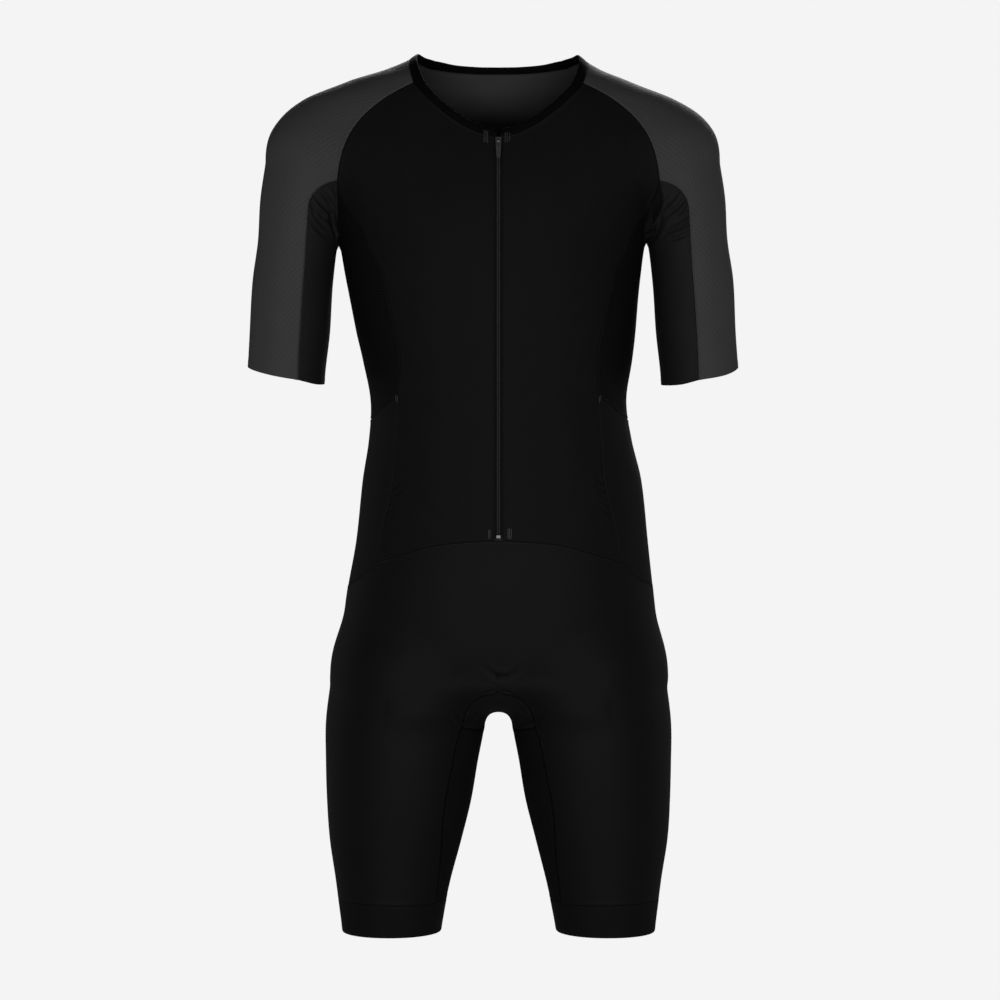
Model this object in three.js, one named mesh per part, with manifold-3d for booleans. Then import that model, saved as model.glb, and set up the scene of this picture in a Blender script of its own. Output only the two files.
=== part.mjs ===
// A short-sleeved triathlon suit with a front zip and leg bands, filled out with no wearer.
// Millimetres, +Z up. The front faces -Y and +X is the wearer's left. The origin lies midway between the two
// neck points, at the height where the shoulders carry the suit.
import * as THREE from "three";
import { mergeVertices } from "three/addons/utils/BufferGeometryUtils.js";
import Module from "manifold-3d";

const wasm = await Module();
wasm.setup();

// Walls and gaps
const CLOTH = 1.4;
const BINDING_PROUD = 0.4;
const SEAM_GAP = 0.3;
const SHARPEST_CORNER_SHIFT = 1.2;

// Zip
const ZIP_OPENING_HALF = 4;
const TAPE = { inner: 2.6, outer: 15, depth: CLOTH + SEAM_GAP, wall: 1, top: -90, foot: -533 };
const CHAIN = { inner: 0.15, outer: 2.3, face: 0.4, back: 3, top: -98, foot: -529 };
const SLIDER = { width: 6.6, taper: 1.4, round: 1, length: 10, face: 1.6, rear: 4.5, plate: 1.2 };
const POST = { width: 4, length: 1.8, foot: 0.4 };
const BRIDGE = { outer: 2.3, eye: 1.15, width: 2.4, below: 3.4, clear: 1.1, sunk: 0.2 };
const PULL = { length: 20, top: 6.4, foot: 4, round: 0.6, wall: 1.4 };
const WINDOW = { rail: 1.5, foot: 5, taper: 0.3 };
const STOP = { width: 4.4, height: 3, face: 0.6, back: 2.6 };

// Leg band
const HEM_Z = -982;
const BAND_RINGS = 3;

// How finely things are worked out
const ZIP_STEPS = 23;
const ARC_DIVISIONS = 400;
const SLOPE_STEP = 0.2;
const SETTLING = { rounds: 12, flattest: 0.05, farthest: 12 };
const FACING = { rounds: 40, deepest: 200 };
const LEAST_RATIO = 1e-6;
const LEAST_CORNER = 0.05;
const WELD = 1e-4;
const CURVE_SEGMENTS = { outline: 6, ring: 10 };

const FRONT = "front";
const BACK = "back";
const LEFT = 1;
const RIGHT = -1;

// A table is a line of column names and its rows; each row is read as an object.
function table(columns, rows) {
  const names = columns.split(" ");
  return rows.map((row) => Object.fromEntries(names.map((name, k) => [name, row[k]])));
}

// Level sections of the filled suit. middle and across are the middle and the half width, front and back the
// depths.
const TRUNK = table("z middle across front back", [
  [30, 0, 72, 44, 60],
  [0, -1, 89, 52, 66],
  [-17, -6, 119, 59, 74],
  [-30, -11, 156, 65, 81],
  [-50, -11, 199, 74, 90],
  [-85, -7, 223, 86, 102],
  [-105, -6, 222, 93, 107],
  [-130, -6, 207, 101, 111],
  [-165, -7, 184, 109, 114],
  [-206, -7, 171, 114, 113],
  [-250, -6, 164, 116, 108],
  [-306, -3, 156, 113, 101],
  [-340, -1, 150, 109, 97],
  [-385, 0, 143, 104, 94],
  [-429, 2, 147, 102, 97],
  [-474, 4, 156, 102, 105],
  [-540, 4, 163, 103, 119],
  [-600, 2, 172, 103, 127],
  [-655, 2, 177.5, 99, 124],
  [-690, 2, 181, 93, 117],
]);
const ARM = table("z middle across front back", [
  [-120, 201, 52, 57, 58],
  [-160, 209, 50, 57, 58],
  [-206, 217, 44.8, 54, 56],
  [-250, 223, 45, 52, 54],
  [-306, 226.5, 44.7, 50, 52],
  [-350, 230.5, 43.5, 48, 50],
  [-400, 233, 42.5, 47, 49],
]);
const LEG = table("z middle across front back", [
  [-690, 98, 89, 90, 114],
  [-744, 104, 89.5, 89, 106],
  [-790, 108.5, 85.3, 85, 93],
  [-834, 111.5, 81, 80, 84],
  [-880, 116, 73.7, 73, 75],
  [-925, 118.5, 64.5, 65, 66],
  [-970, 120, 57, 58, 58],
  [-1000, 121, 53.5, 54, 54],
]);
const OVAL = { trunk: 2.3, limb: 2.1 };
const CAP = { none: 1000, shoulder: 57, cuff: 30, crotch: 40, thigh: 80 };
const WIDER_ARM = { [LEFT]: -6.3, [RIGHT]: 6.3 };
const BLEND = { crotch: 30, hip: 20, shoulder: 40, armpit: 7, shoulderZ: -120, armpitZ: -185 };

const clamp = (value, low, high) => Math.min(high, Math.max(low, value));

// A table read at a height, as a smooth curve through its rows. The rows run downwards.
function sectionAt(rows, z) {
  const height = clamp(z, rows.at(-1).z, rows[0].z);
  let k = 0;
  while (k < rows.length - 2 && rows[k + 1].z > height) k += 1;
  const [upper, lower] = [rows[k], rows[k + 1]];
  const [above, below] = [rows[Math.max(k - 1, 0)], rows[Math.min(k + 2, rows.length - 1)]];
  const step = lower.z - upper.z;
  const t = (height - upper.z) / step;
  const section = {};
  for (const key of Object.keys(upper)) {
    const leave = ((lower[key] - above[key]) / (lower.z - above.z)) * step;
    const arrive = ((below[key] - upper[key]) / (below.z - upper.z)) * step;
    const turn = 2 * upper[key] - 2 * lower[key] + leave + arrive;
    const bend = 3 * lower[key] - 3 * upper[key] - 2 * leave - arrive;
    section[key] = upper[key] + t * (leave + t * (bend + t * turn));
  }
  return { ...section, z: height };
}

// How far a point is outside one limb, roughly in millimetres: negative inside.
function outside(rows, power, caps, shift, x, y, z) {
  const section = sectionAt(rows, z);
  const dx = x - shift - section.middle;
  const dz = z - section.z;
  const depth = y < 0 ? section.front : section.back;
  const height = dz > 0 ? caps.top : caps.foot;
  const parts = [dx / section.across, y / depth, dz / height];
  const sum = parts.reduce((total, part) => total + Math.abs(part) ** power, 0);
  const ratio = Math.max(sum ** (1 / power), LEAST_RATIO);
  return Math.hypot(dx, y, dz) * (1 - 1 / ratio) - (ratio <= LEAST_RATIO ? section.across : 0);
}

function blended(a, b, reach) {
  const share = Math.max(reach - Math.abs(a - b), 0) / reach;
  return Math.min(a, b) - (share * share * reach) / 4;
}

// The outside of the filled suit is where this is zero.
function form(x, y, z) {
  const limb = (rows, caps, side, wider) => outside(rows, OVAL.limb, caps, wider, x * side, y, z);
  const [armCaps, legCaps] = [{ top: CAP.shoulder, foot: CAP.cuff }, { top: CAP.thigh, foot: CAP.none }];
  const arms = [LEFT, RIGHT].map((side) => limb(ARM, armCaps, side, WIDER_ARM[side]));
  const legs = [LEFT, RIGHT].map((side) => limb(LEG, legCaps, side, 0));
  const trunk = outside(TRUNK, OVAL.trunk, { top: CAP.none, foot: CAP.crotch }, 0, x, y, z);
  const lower = blended(trunk, blended(legs[0], legs[1], BLEND.crotch), BLEND.hip);
  const down = clamp((z - BLEND.shoulderZ) / (BLEND.armpitZ - BLEND.shoulderZ), 0, 1);
  const reach = BLEND.shoulder + (BLEND.armpit - BLEND.shoulder) * down * down * (3 - 2 * down);
  return blended(lower, Math.min(arms[0], arms[1]), reach);
}

const vector = (x, y, z) => new THREE.Vector3(x, y, z);
const formAt = (p) => form(p.x, p.y, p.z);

function slope(p) {
  const h = SLOPE_STEP;
  return vector(
    (form(p.x + h, p.y, p.z) - form(p.x - h, p.y, p.z)) / (2 * h),
    (form(p.x, p.y + h, p.z) - form(p.x, p.y - h, p.z)) / (2 * h),
    (form(p.x, p.y, p.z + h) - form(p.x, p.y, p.z - h)) / (2 * h),
  );
}

const normalAt = (p) => slope(p).normalize();

// A point brought onto the form along its slope.
function settle(p) {
  const q = p.clone();
  for (let k = 0; k < SETTLING.rounds; k += 1) {
    const direction = slope(q);
    const step = formAt(q) / Math.max(direction.lengthSq(), SETTLING.flattest);
    q.addScaledVector(direction, -clamp(step, -SETTLING.farthest, SETTLING.farthest));
  }
  return q;
}

// The point of the form in front of or behind a point of the middle plane.
function facing(x, z, face) {
  const toward = face === FRONT ? -1 : 1;
  let [near, far] = [0, FACING.deepest];
  for (let k = 0; k < FACING.rounds; k += 1) {
    const middle = (near + far) / 2;
    if (form(x, toward * middle, z) < 0) near = middle;
    else far = middle;
  }
  return vector(x, toward * near, z);
}

// Seams. lies is FRONT or BACK, or the depth y of a point at the side. follows is how much a point moves with
// an arm that is set wider than the other.
const seamRows = (rows) => table("x z lies follows", rows);
const onFace = (face, rows) => seamRows(rows.map(([x, z]) => [x, z, face]));

// A seam as evenly spaced points on the form, from a smooth curve through its rows.
function seam(rows, side, steps) {
  const marks = rows.map(({ x, z, lies, follows = 0 }) => {
    const across = (x + follows * WIDER_ARM[side]) * side;
    return typeof lies === "string" ? facing(across, z, lies) : settle(vector(across, lies, z));
  });
  const curve = new THREE.CatmullRomCurve3(marks, false, "centripetal");
  curve.arcLengthDivisions = ARC_DIVISIONS;
  const points = curve.getSpacedPoints(steps);
  return points.map((p, k) => (k === 0 || k === steps ? p : settle(p)));
}

const RAGLAN = [
  [93.5, -34],
  [112, -43.5],
  [130, -55],
  [149, -71.5],
  [161, -87],
  [170, -106],
  [175, -125],
  [177.5, -142],
];
const SPLIT = [
  [177.5, -142],
  [190, -145.5],
  [201, -153],
  [208, -165],
  [210.5, -190],
  [213, -230],
  [217, -279],
  [220, -325],
  [221.5, -361],
];
const SIDE = [
  [177.5, -142],
  [168, -167],
  [150, -190],
  [137, -221],
  [127, -241],
  [121, -269],
  [114, -301],
  [108.5, -331],
  [110.5, -378],
];
const INNER_LEG = [
  [40, -745],
  [45, -760],
  [52.5, -797],
  [58.5, -828],
  [61.5, -853],
  [63, -880],
  [66, -912],
  [69.6, -944],
];
const PAD_END = [
  [0, -702.5],
  [18.5, -709],
  [31, -718],
  [38, -732],
  [40, -745],
];
const WAIST = [
  [0, -535],
  [32, -536.5],
  [64, -540],
  [92.5, -547],
  [113.5, -554],
  [138, -563],
];

// Every seam by name: its rows and its number of steps. Panels that meet share the same points.
const SEAMS = {
  zipEdge: {
    steps: ZIP_STEPS,
    rows: onFace(FRONT, [[ZIP_OPENING_HALF, -93.5], [ZIP_OPENING_HALF, -310], [ZIP_OPENING_HALF, -535]]),
  },
  neckFront: {
    steps: 7,
    rows: onFace(FRONT, [
      [ZIP_OPENING_HALF, -93.5],
      [17, -91],
      [40, -80.5],
      [58, -68],
      [72, -56],
      [84, -44.5],
      [93.5, -34],
    ]),
  },
  neckSleeve: {
    steps: 10,
    rows: seamRows([[93.5, -34, FRONT], [98, -18, FRONT], [97, -5, 0], [90, -7, BACK], [78, -11.8, BACK]]),
  },
  neckBack: { steps: 6, rows: onFace(BACK, [[0, -17], [26, -16.6], [53, -14.8], [78, -11.8]]) },
  raglanFront: { steps: 7, rows: onFace(FRONT, RAGLAN) },
  raglanBack: { steps: 7, rows: onFace(BACK, [[78, -11.8], [108, -35], ...RAGLAN.slice(2)]) },
  shoulderRidge: {
    steps: 17,
    rows: seamRows([
      [97, -5, 0],
      [130, -20, 0],
      [165, -33, 0],
      [200, -47, 0],
      [228, -66, 0],
      [247, -95, 0],
      [258, -139, 0],
      [262, -205, 0],
      [269, -272, 0],
      [274, -347, 0],
    ]),
  },
  splitFront: { steps: 10, rows: onFace(FRONT, SPLIT) },
  splitBack: { steps: 10, rows: onFace(BACK, SPLIT) },
  armhole: {
    steps: 8,
    rows: seamRows([
      [177.5, -142, FRONT],
      [178.5, -170, -54, 0.3],
      [172.5, -196, -29, 0.8],
      [170.7, -205, 0, 1],
      [172.5, -196, 29, 0.8],
      [178.5, -170, 54, 0.3],
      [177.5, -142, BACK],
    ]),
  },
  cuffOuter: {
    steps: 10,
    rows: seamRows([
      [221.5, -361, FRONT],
      [250, -356, FRONT],
      [274, -347, 0],
      [250, -356, BACK],
      [221.5, -361, BACK],
    ]),
  },
  cuffInner: {
    steps: 8,
    rows: seamRows([
      [221.5, -361, FRONT],
      [203, -366, FRONT],
      [188, -367, 0],
      [203, -366, BACK],
      [221.5, -361, BACK],
    ]),
  },
  sideFront: { steps: 9, rows: onFace(FRONT, SIDE) },
  sideBack: { steps: 9, rows: onFace(BACK, [...SIDE.slice(0, -1), [110.5, -386]]) },
  pocketEdge: {
    steps: 8,
    rows: seamRows([
      [110.5, -378, FRONT],
      [124, -388, FRONT],
      [137, -400, FRONT],
      [143, -406, 0],
      [133, -401, BACK],
      [110.5, -386, BACK],
    ]),
  },
  hipFront: {
    steps: 7,
    rows: onFace(FRONT, [
      [110.5, -378],
      [113.5, -434],
      [115.5, -468],
      [119.5, -490],
      [129, -527],
      [132.5, -547],
      [138, -563],
    ]),
  },
  hipBack: {
    steps: 7,
    rows: onFace(BACK, [[110.5, -386], [113, -434], [118, -490], [128, -545], [138, -592]]),
  },
  yokeFoot: { steps: 6, rows: onFace(BACK, [[0, -158], [60, -157], [120, -152], [177.5, -142]]) },
  waistFront: { steps: 7, rows: onFace(FRONT, WAIST) },
  waistZip: { steps: 7, rows: onFace(FRONT, [[ZIP_OPENING_HALF, -535], ...WAIST.slice(1)]) },
  waistSideFront: { steps: 4, rows: seamRows([[138, -563, FRONT], [152, -578, FRONT], [172, -597, 0]]) },
  waistSideBack: { steps: 4, rows: seamRows([[172, -597, 0], [158, -595, BACK], [138, -592, BACK]]) },
  waistBack: { steps: 6, rows: onFace(BACK, [[0, -595], [70, -594], [138, -592]]) },
  shortsCentreFront: { steps: 6, rows: onFace(FRONT, [[0, -535], [0, -620], [0, -702.5]]) },
  shortsCentreBack: { steps: 6, rows: onFace(BACK, [[0, -595], [0, -650], [0, -702.5]]) },
  padFront: { steps: 3, rows: onFace(FRONT, PAD_END) },
  padBack: { steps: 3, rows: onFace(BACK, PAD_END) },
  padSide: {
    steps: 8,
    rows: seamRows([[40, -745, FRONT], [24, -750, -45], [16, -752, 0], [24, -750, 45], [40, -745, BACK]]),
  },
  innerFront: { steps: 8, rows: onFace(FRONT, INNER_LEG) },
  innerBack: { steps: 8, rows: onFace(BACK, INNER_LEG) },
  legSide: {
    steps: 17,
    rows: seamRows([
      [172, -597, 0],
      [181, -650, 0],
      [190, -700, 0],
      [194, -766, 0],
      [193, -812, 0],
      [192, -857, 0],
      [187, -900, 0],
      [181, -944, 0],
    ]),
  },
  bandFront: {
    steps: 11,
    rows: seamRows([[69.6, -944, FRONT], [112, -945, FRONT], [150, -944, FRONT], [181, -944, 0]]),
  },
  bandInner: { steps: 8, rows: seamRows([[69.6, -944, FRONT], [58, -945, 0], [69.6, -944, BACK]]) },
  bandBack: {
    steps: 10,
    rows: seamRows([[69.6, -944, BACK], [112, -945, BACK], [150, -944, BACK], [181, -944, 0]]),
  },
  neckEdgeFront: {
    steps: 7,
    rows: onFace(FRONT, [
      [ZIP_OPENING_HALF, -86],
      [14.5, -84],
      [36.5, -74],
      [53.5, -62],
      [67, -50],
      [78.5, -37.5],
      [85, -25],
    ]),
  },
  neckEdgeSleeve: {
    steps: 10,
    rows: seamRows([[85, -25, FRONT], [89.3, -11, FRONT], [89, 0, 0], [82, -1.2, BACK], [71, -3.8, BACK]]),
  },
  neckEdgeBack: { steps: 6, rows: onFace(BACK, [[0, -9.6], [24, -9.2], [50, -7.3], [71, -3.8]]) },
};

// The named seams of one side, each worked out once.
function seamsOf(side) {
  const entries = Object.entries(SEAMS);
  return Object.fromEntries(entries.map(([name, { rows, steps }]) => [name, seam(rows, side, steps)]));
}

const reversed = (points) => [...points].reverse();
const joined = (...runs) => runs.flatMap((run, k) => (k === 0 ? run : run.slice(1)));

// A panel's points between its four edges, settled on the form. Rows run from top to foot, and columns from
// one side to the other.
function patch(one, other, top, foot) {
  const rows = one.length - 1;
  const columns = top.length - 1;
  return one.map((_, j) =>
    top.map((_, i) => {
      const [u, v] = [i / columns, j / rows];
      if (i === 0) return one[j].clone();
      if (i === columns) return other[j].clone();
      if (j === 0) return top[i].clone();
      if (j === rows) return foot[i].clone();
      const p = vector(0, 0, 0);
      p.addScaledVector(top[i], 1 - v).addScaledVector(foot[i], v);
      p.addScaledVector(one[j], 1 - u).addScaledVector(other[j], u);
      p.addScaledVector(top[0], -(1 - u) * (1 - v)).addScaledVector(top[columns], -u * (1 - v));
      p.addScaledVector(foot[0], -(1 - u) * v).addScaledVector(foot[columns], -u * v);
      return settle(p);
    }),
  );
}

const beside = (one, other) => one.map((row, j) => [...row, ...other[j].slice(1)]);

// The direction that leads off an edge into its panel, square to the edge and in the surface.
function inward(before, after, normal, toward) {
  const across = after.clone().sub(before).cross(normal).normalize();
  return across.dot(toward) < 0 ? across.negate() : across;
}

// The panel's points with its free edges drawn in by half the seam gap.
function drawnIn(grid, ring) {
  const [rows, columns] = [grid.length - 1, grid[0].length - 1];
  return grid.map((row, j) =>
    row.map((p, i) => {
      const normal = normalAt(p);
      const moves = [];
      if (!ring && (i === 0 || i === columns)) {
        const next = grid[j][i === 0 ? 1 : columns - 1];
        const edge = [grid[Math.max(j - 1, 0)][i], grid[Math.min(j + 1, rows)][i]];
        moves.push(inward(...edge, normal, next.clone().sub(p)));
      }
      if (j === 0 || j === rows) {
        const next = grid[j === 0 ? 1 : rows - 1][i];
        const edge = ring
          ? [row[(i + columns) % (columns + 1)], row[(i + 1) % (columns + 1)]]
          : [row[Math.max(i - 1, 0)], row[Math.min(i + 1, columns)]];
        moves.push(inward(...edge, normal, next.clone().sub(p)));
      }
      if (!moves.length) return p.clone();
      const both = moves.length === 2 ? 1 + moves[0].dot(moves[1]) : 1;
      const shift = moves.reduce((sum, move) => sum.add(move), vector(0, 0, 0));
      shift.multiplyScalar(SEAM_GAP / 2 / Math.max(both, LEAST_CORNER)).clampLength(0, SHARPEST_CORNER_SHIFT);
      return p.clone().add(shift);
    }),
  );
}

// A closed body between two grids of points that match, with the grid's rim closed. A ring's rows close on
// themselves.
function between(outer, inner, ring) {
  const [rows, width] = [outer.length, outer[0].length];
  const columns = ring ? width : width - 1;
  const positions = [...outer.flat(), ...inner.flat()].flatMap((p) => [p.x, p.y, p.z]);
  const skin = rows * width;
  const at = (j, i) => j * width + (i % width);
  const faces = [];
  const quad = (a, b, c, d) => faces.push(a, b, c, a, c, d);
  for (let j = 0; j < rows - 1; j += 1)
    for (let i = 0; i < columns; i += 1) {
      quad(at(j, i), at(j + 1, i), at(j + 1, i + 1), at(j, i + 1));
      quad(skin + at(j, i), skin + at(j, i + 1), skin + at(j + 1, i + 1), skin + at(j + 1, i));
    }
  for (let i = 0; i < columns; i += 1) {
    quad(at(0, i), at(0, i + 1), skin + at(0, i + 1), skin + at(0, i));
    quad(at(rows - 1, i + 1), at(rows - 1, i), skin + at(rows - 1, i), skin + at(rows - 1, i + 1));
  }
  for (let j = 0; !ring && j < rows - 1; j += 1) {
    quad(at(j + 1, 0), at(j, 0), skin + at(j, 0), skin + at(j + 1, 0));
    quad(at(j, columns), at(j + 1, columns), skin + at(j + 1, columns), skin + at(j, columns));
  }
  const [j, i] = [(rows - 1) >> 1, (width - 1) >> 1];
  const across = outer[j][i + 1].clone().sub(outer[j][i]);
  const down = outer[j + 1][i].clone().sub(outer[j][i]);
  const out = outer[j][i].clone().sub(inner[j][i]);
  if (down.cross(across).dot(out) < 0) faces.reverse();
  const geometry = new THREE.BufferGeometry();
  geometry.setAttribute("position", new THREE.Float32BufferAttribute(positions, 3));
  geometry.setIndex(faces);
  geometry.computeVertexNormals();
  return geometry;
}

function moved(grid, distance) {
  return grid.map((row) => row.map((p) => p.clone().addScaledVector(normalAt(p), distance)));
}

// Cloth of one panel: the wall from proud of the form to the thickness below it.
function wall(grid, { ring = false, proud = 0, thick = CLOTH } = {}) {
  const edge = drawnIn(grid, ring);
  return between(moved(edge, proud), moved(edge, proud - thick), ring);
}

// Finishes
function finish(color, roughness, metalness = 0) {
  return new THREE.MeshStandardMaterial({ color, roughness, metalness });
}
const FINISHES = {
  jersey: finish(0x131315, 0.85),
  sleeve: finish(0x323234, 0.85),
  mesh: finish(0x0c0c0e, 0.8),
  shorts: finish(0x121214, 0.78),
  gusset: finish(0x0d0d0f, 0.9),
  elastic: finish(0x101012, 0.85),
  binding: finish(0x0a0a0b, 0.7),
  tape: finish(0x0e0e10, 0.8),
  coil: finish(0x2a2a2d, 0.5),
  metal: finish(0x1d1d20, 0.4, 0.8),
};

const suit = new THREE.Group();

function add(name, geometry, material, parent = suit) {
  const mesh = new THREE.Mesh(geometry, FINISHES[material]);
  mesh.name = name;
  parent.add(mesh);
  return mesh;
}

// Upper body of one side
function addUpper(name, s) {
  const frontSide = joined(s.raglanFront, s.sideFront, s.hipFront);
  add(`front_${name}`, wall(patch(s.zipEdge, frontSide, s.neckFront, s.waistZip)), "jersey");
  const half = s.neckSleeve.length >> 1;
  const front = patch(
    joined(s.raglanFront, s.splitFront),
    s.shoulderRidge,
    s.neckSleeve.slice(0, half + 1),
    s.cuffOuter.slice(0, half + 1),
  );
  const back = patch(
    s.shoulderRidge,
    joined(s.raglanBack, s.splitBack),
    s.neckSleeve.slice(half),
    s.cuffOuter.slice(half),
  );
  add(`sleeve_${name}`, wall(beside(front, back)), "sleeve");
  add(`under_sleeve_${name}`, wall(patch(s.splitFront, s.splitBack, s.armhole, s.cuffInner)), "jersey");
  add(`side_panel_${name}`, wall(patch(s.sideFront, s.sideBack, s.armhole, s.pocketEdge)), "mesh");
  const waistSide = joined(s.waistSideFront, s.waistSideBack);
  add(`hip_panel_${name}`, wall(patch(s.hipFront, s.hipBack, s.pocketEdge, waistSide)), "jersey");
}

// Back yoke, back and gusset, which run across both sides
function addMiddle(left, right) {
  const across = (key) => joined(reversed(right[key]), left[key]);
  const yoke = patch(right.raglanBack, left.raglanBack, across("neckBack"), across("yokeFoot"));
  add("back_yoke", wall(yoke), "sleeve");
  const sides = [right, left].map((s) => joined(s.sideBack, s.hipBack));
  add("back", wall(patch(...sides, across("yokeFoot"), across("waistBack"))), "jersey");
  add("gusset", wall(patch(right.padSide, left.padSide, across("padFront"), across("padBack"))), "gusset");
}

// Shorts of one side
function addShorts(name, s) {
  const front = joined(s.shortsCentreFront, s.padFront, s.innerFront);
  const back = joined(s.shortsCentreBack, s.padBack, s.innerBack);
  const waistFront = joined(s.waistFront, s.waistSideFront);
  const waistBack = joined(s.waistBack, reversed(s.waistSideBack));
  add(`shorts_front_${name}`, wall(patch(front, s.legSide, waistFront, s.bandFront)), "shorts");
  add(`shorts_back_${name}`, wall(patch(back, s.legSide, waistBack, s.bandBack)), "shorts");
  add(`inner_leg_${name}`, wall(patch(s.innerFront, s.innerBack, s.padSide, s.bandInner)), "gusset");
  const loop = joined(s.bandFront, reversed(s.bandBack), reversed(s.bandInner)).slice(0, -1);
  const grid = Array.from({ length: BAND_RINGS }, (_, j) =>
    loop.map((p) => settle(vector(p.x, p.y, p.z + ((HEM_Z - p.z) * j) / (BAND_RINGS - 1)))),
  );
  grid[0] = loop.map((p) => p.clone());
  add(`leg_band_${name}`, wall(grid, { ring: true }), "elastic");
}

// Neck band, from one side of the zip round the back to the other
function addNeckBand(left, right) {
  const half = (s, [front, sleeve, back]) => joined(s[front], s[sleeve], reversed(s[back]));
  const run = (keys) => joined(half(right, keys), reversed(half(left, keys)));
  const seamEdge = run(["neckFront", "neckSleeve", "neckBack"]);
  const freeEdge = run(["neckEdgeFront", "neckEdgeSleeve", "neckEdgeBack"]);
  const grid = [freeEdge, freeEdge.map((p, i) => settle(p.clone().lerp(seamEdge[i], 0.5))), seamEdge];
  add("neck_band", wall(grid, { proud: BINDING_PROUD, thick: CLOTH + BINDING_PROUD }), "binding");
}

// A strip of the zip that follows the front, between two widths and two depths below the form
function zipStrip(side, { inner, outer, face, back, top, foot }) {
  const grid = Array.from({ length: ZIP_STEPS + 1 }, (_, j) => {
    const z = top + ((foot - top) * j) / ZIP_STEPS;
    return [inner, outer].map((x) => facing(x * side, z, FRONT));
  });
  return between(moved(grid, -face), moved(grid, -back), false);
}

function addZipSide(name, side) {
  const tape = { ...TAPE, face: TAPE.depth, back: TAPE.depth + TAPE.wall };
  add(`zip_tape_${name}`, zipStrip(side, tape), "tape");
  add(`zip_chain_${name}`, zipStrip(side, CHAIN), "coil");
}

// Solids that are joined
function solid(geometry, place = vector(0, 0, 0)) {
  const bare = geometry.clone().translate(place.x, place.y, place.z);
  bare.deleteAttribute("normal");
  bare.deleteAttribute("uv");
  const merged = mergeVertices(bare, WELD);
  const vertProperties = merged.attributes.position.array;
  const triVerts = new Uint32Array(merged.index.array);
  return new wasm.Manifold(new wasm.Mesh({ numProp: 3, vertProperties, triVerts }));
}

function geometryOf(manifold) {
  const { vertProperties, triVerts } = manifold.getMesh();
  const geometry = new THREE.BufferGeometry();
  geometry.setAttribute("position", new THREE.BufferAttribute(vertProperties, 3));
  geometry.setIndex(new THREE.BufferAttribute(triVerts, 1));
  geometry.computeVertexNormals();
  return geometry;
}

// A flat outline in x and z, given a thickness from y = near to y = far.
function plate(shape, near, far) {
  const options = { depth: far - near, bevelEnabled: false, curveSegments: CURVE_SEGMENTS.outline };
  const geometry = new THREE.ExtrudeGeometry(shape, options);
  return solid(geometry.rotateX(Math.PI / 2).translate(0, far, 0));
}

// An outline with rounded corners, its sides tapering from top to foot.
function tapered(top, foot, high, low, round) {
  const shape = new THREE.Shape();
  shape.moveTo(-foot / 2 + round, low);
  shape.lineTo(foot / 2 - round, low);
  shape.quadraticCurveTo(foot / 2, low, foot / 2, low + round);
  shape.lineTo(top / 2, high - round);
  shape.quadraticCurveTo(top / 2, high, top / 2 - round, high);
  shape.lineTo(-top / 2 + round, high);
  shape.quadraticCurveTo(-top / 2, high, -top / 2, high - round);
  shape.lineTo(-foot / 2, low + round);
  shape.quadraticCurveTo(-foot / 2, low, -foot / 2 + round, low);
  return shape;
}

// The slider's own frame: its origin is on the form at the top of the chain, -Y points off the cloth and -Z
// runs down the chain.
const bridgeZ = POST.foot - BRIDGE.below;
const pivotY = -(SLIDER.face + BRIDGE.clear);

function sliderBody() {
  const high = POST.foot + POST.length;
  const low = high - SLIDER.length;
  const outline = tapered(SLIDER.width, SLIDER.width - SLIDER.taper, high, low, SLIDER.round);
  const [faceBack, rearFace] = [CHAIN.face - SEAM_GAP, CHAIN.back + SEAM_GAP];
  const face = plate(outline, -SLIDER.face, faceBack);
  const rear = plate(outline, rearFace, rearFace + SLIDER.plate);
  const column = solid(
    new THREE.BoxGeometry(POST.width, SLIDER.face + SLIDER.rear, POST.length),
    vector(0, (SLIDER.rear - SLIDER.face) / 2, POST.foot + POST.length / 2),
  );
  const ring = new THREE.Shape().absarc(0, 0, BRIDGE.outer, 0, Math.PI * 2);
  ring.holes.push(new THREE.Path().absarc(0, 0, BRIDGE.eye, 0, Math.PI * 2));
  const options = { depth: BRIDGE.width, bevelEnabled: false, curveSegments: CURVE_SEGMENTS.ring };
  const bridge = new THREE.ExtrudeGeometry(ring, options);
  bridge.translate(0, 0, -BRIDGE.width / 2).rotateY(Math.PI / 2).translate(0, pivotY, bridgeZ);
  const behind = solid(
    new THREE.BoxGeometry(SLIDER.width, SLIDER.width, SLIDER.length),
    vector(0, faceBack - BRIDGE.sunk + SLIDER.width / 2, bridgeZ),
  );
  return face.add(solid(bridge).subtract(behind)).add(column).add(rear);
}

function pullBody() {
  const outline = tapered(PULL.top, PULL.foot, PULL.wall / 2, PULL.wall / 2 - PULL.length, PULL.round);
  const window = new THREE.Path();
  const half = PULL.top / 2 - WINDOW.rail;
  window.moveTo(-half, -PULL.wall / 2);
  window.lineTo(half, -PULL.wall / 2);
  window.lineTo(half - WINDOW.taper, -WINDOW.foot);
  window.lineTo(-half + WINDOW.taper, -WINDOW.foot);
  window.closePath();
  outline.holes.push(window);
  return plate(outline, -PULL.wall / 2, PULL.wall / 2);
}

function addSlider() {
  const origin = facing(0, CHAIN.top, FRONT);
  const lower = facing(0, CHAIN.top - PULL.length, FRONT);
  const frame = new THREE.Group();
  frame.position.copy(origin);
  frame.rotation.x = Math.atan2(lower.y - origin.y, origin.z - lower.z);
  add("zip_slider", geometryOf(sliderBody()), "metal", frame);
  const pull = add("zip_pull", geometryOf(pullBody()), "metal", frame);
  pull.position.set(0, pivotY, bridgeZ);
  suit.add(frame);
}

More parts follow.
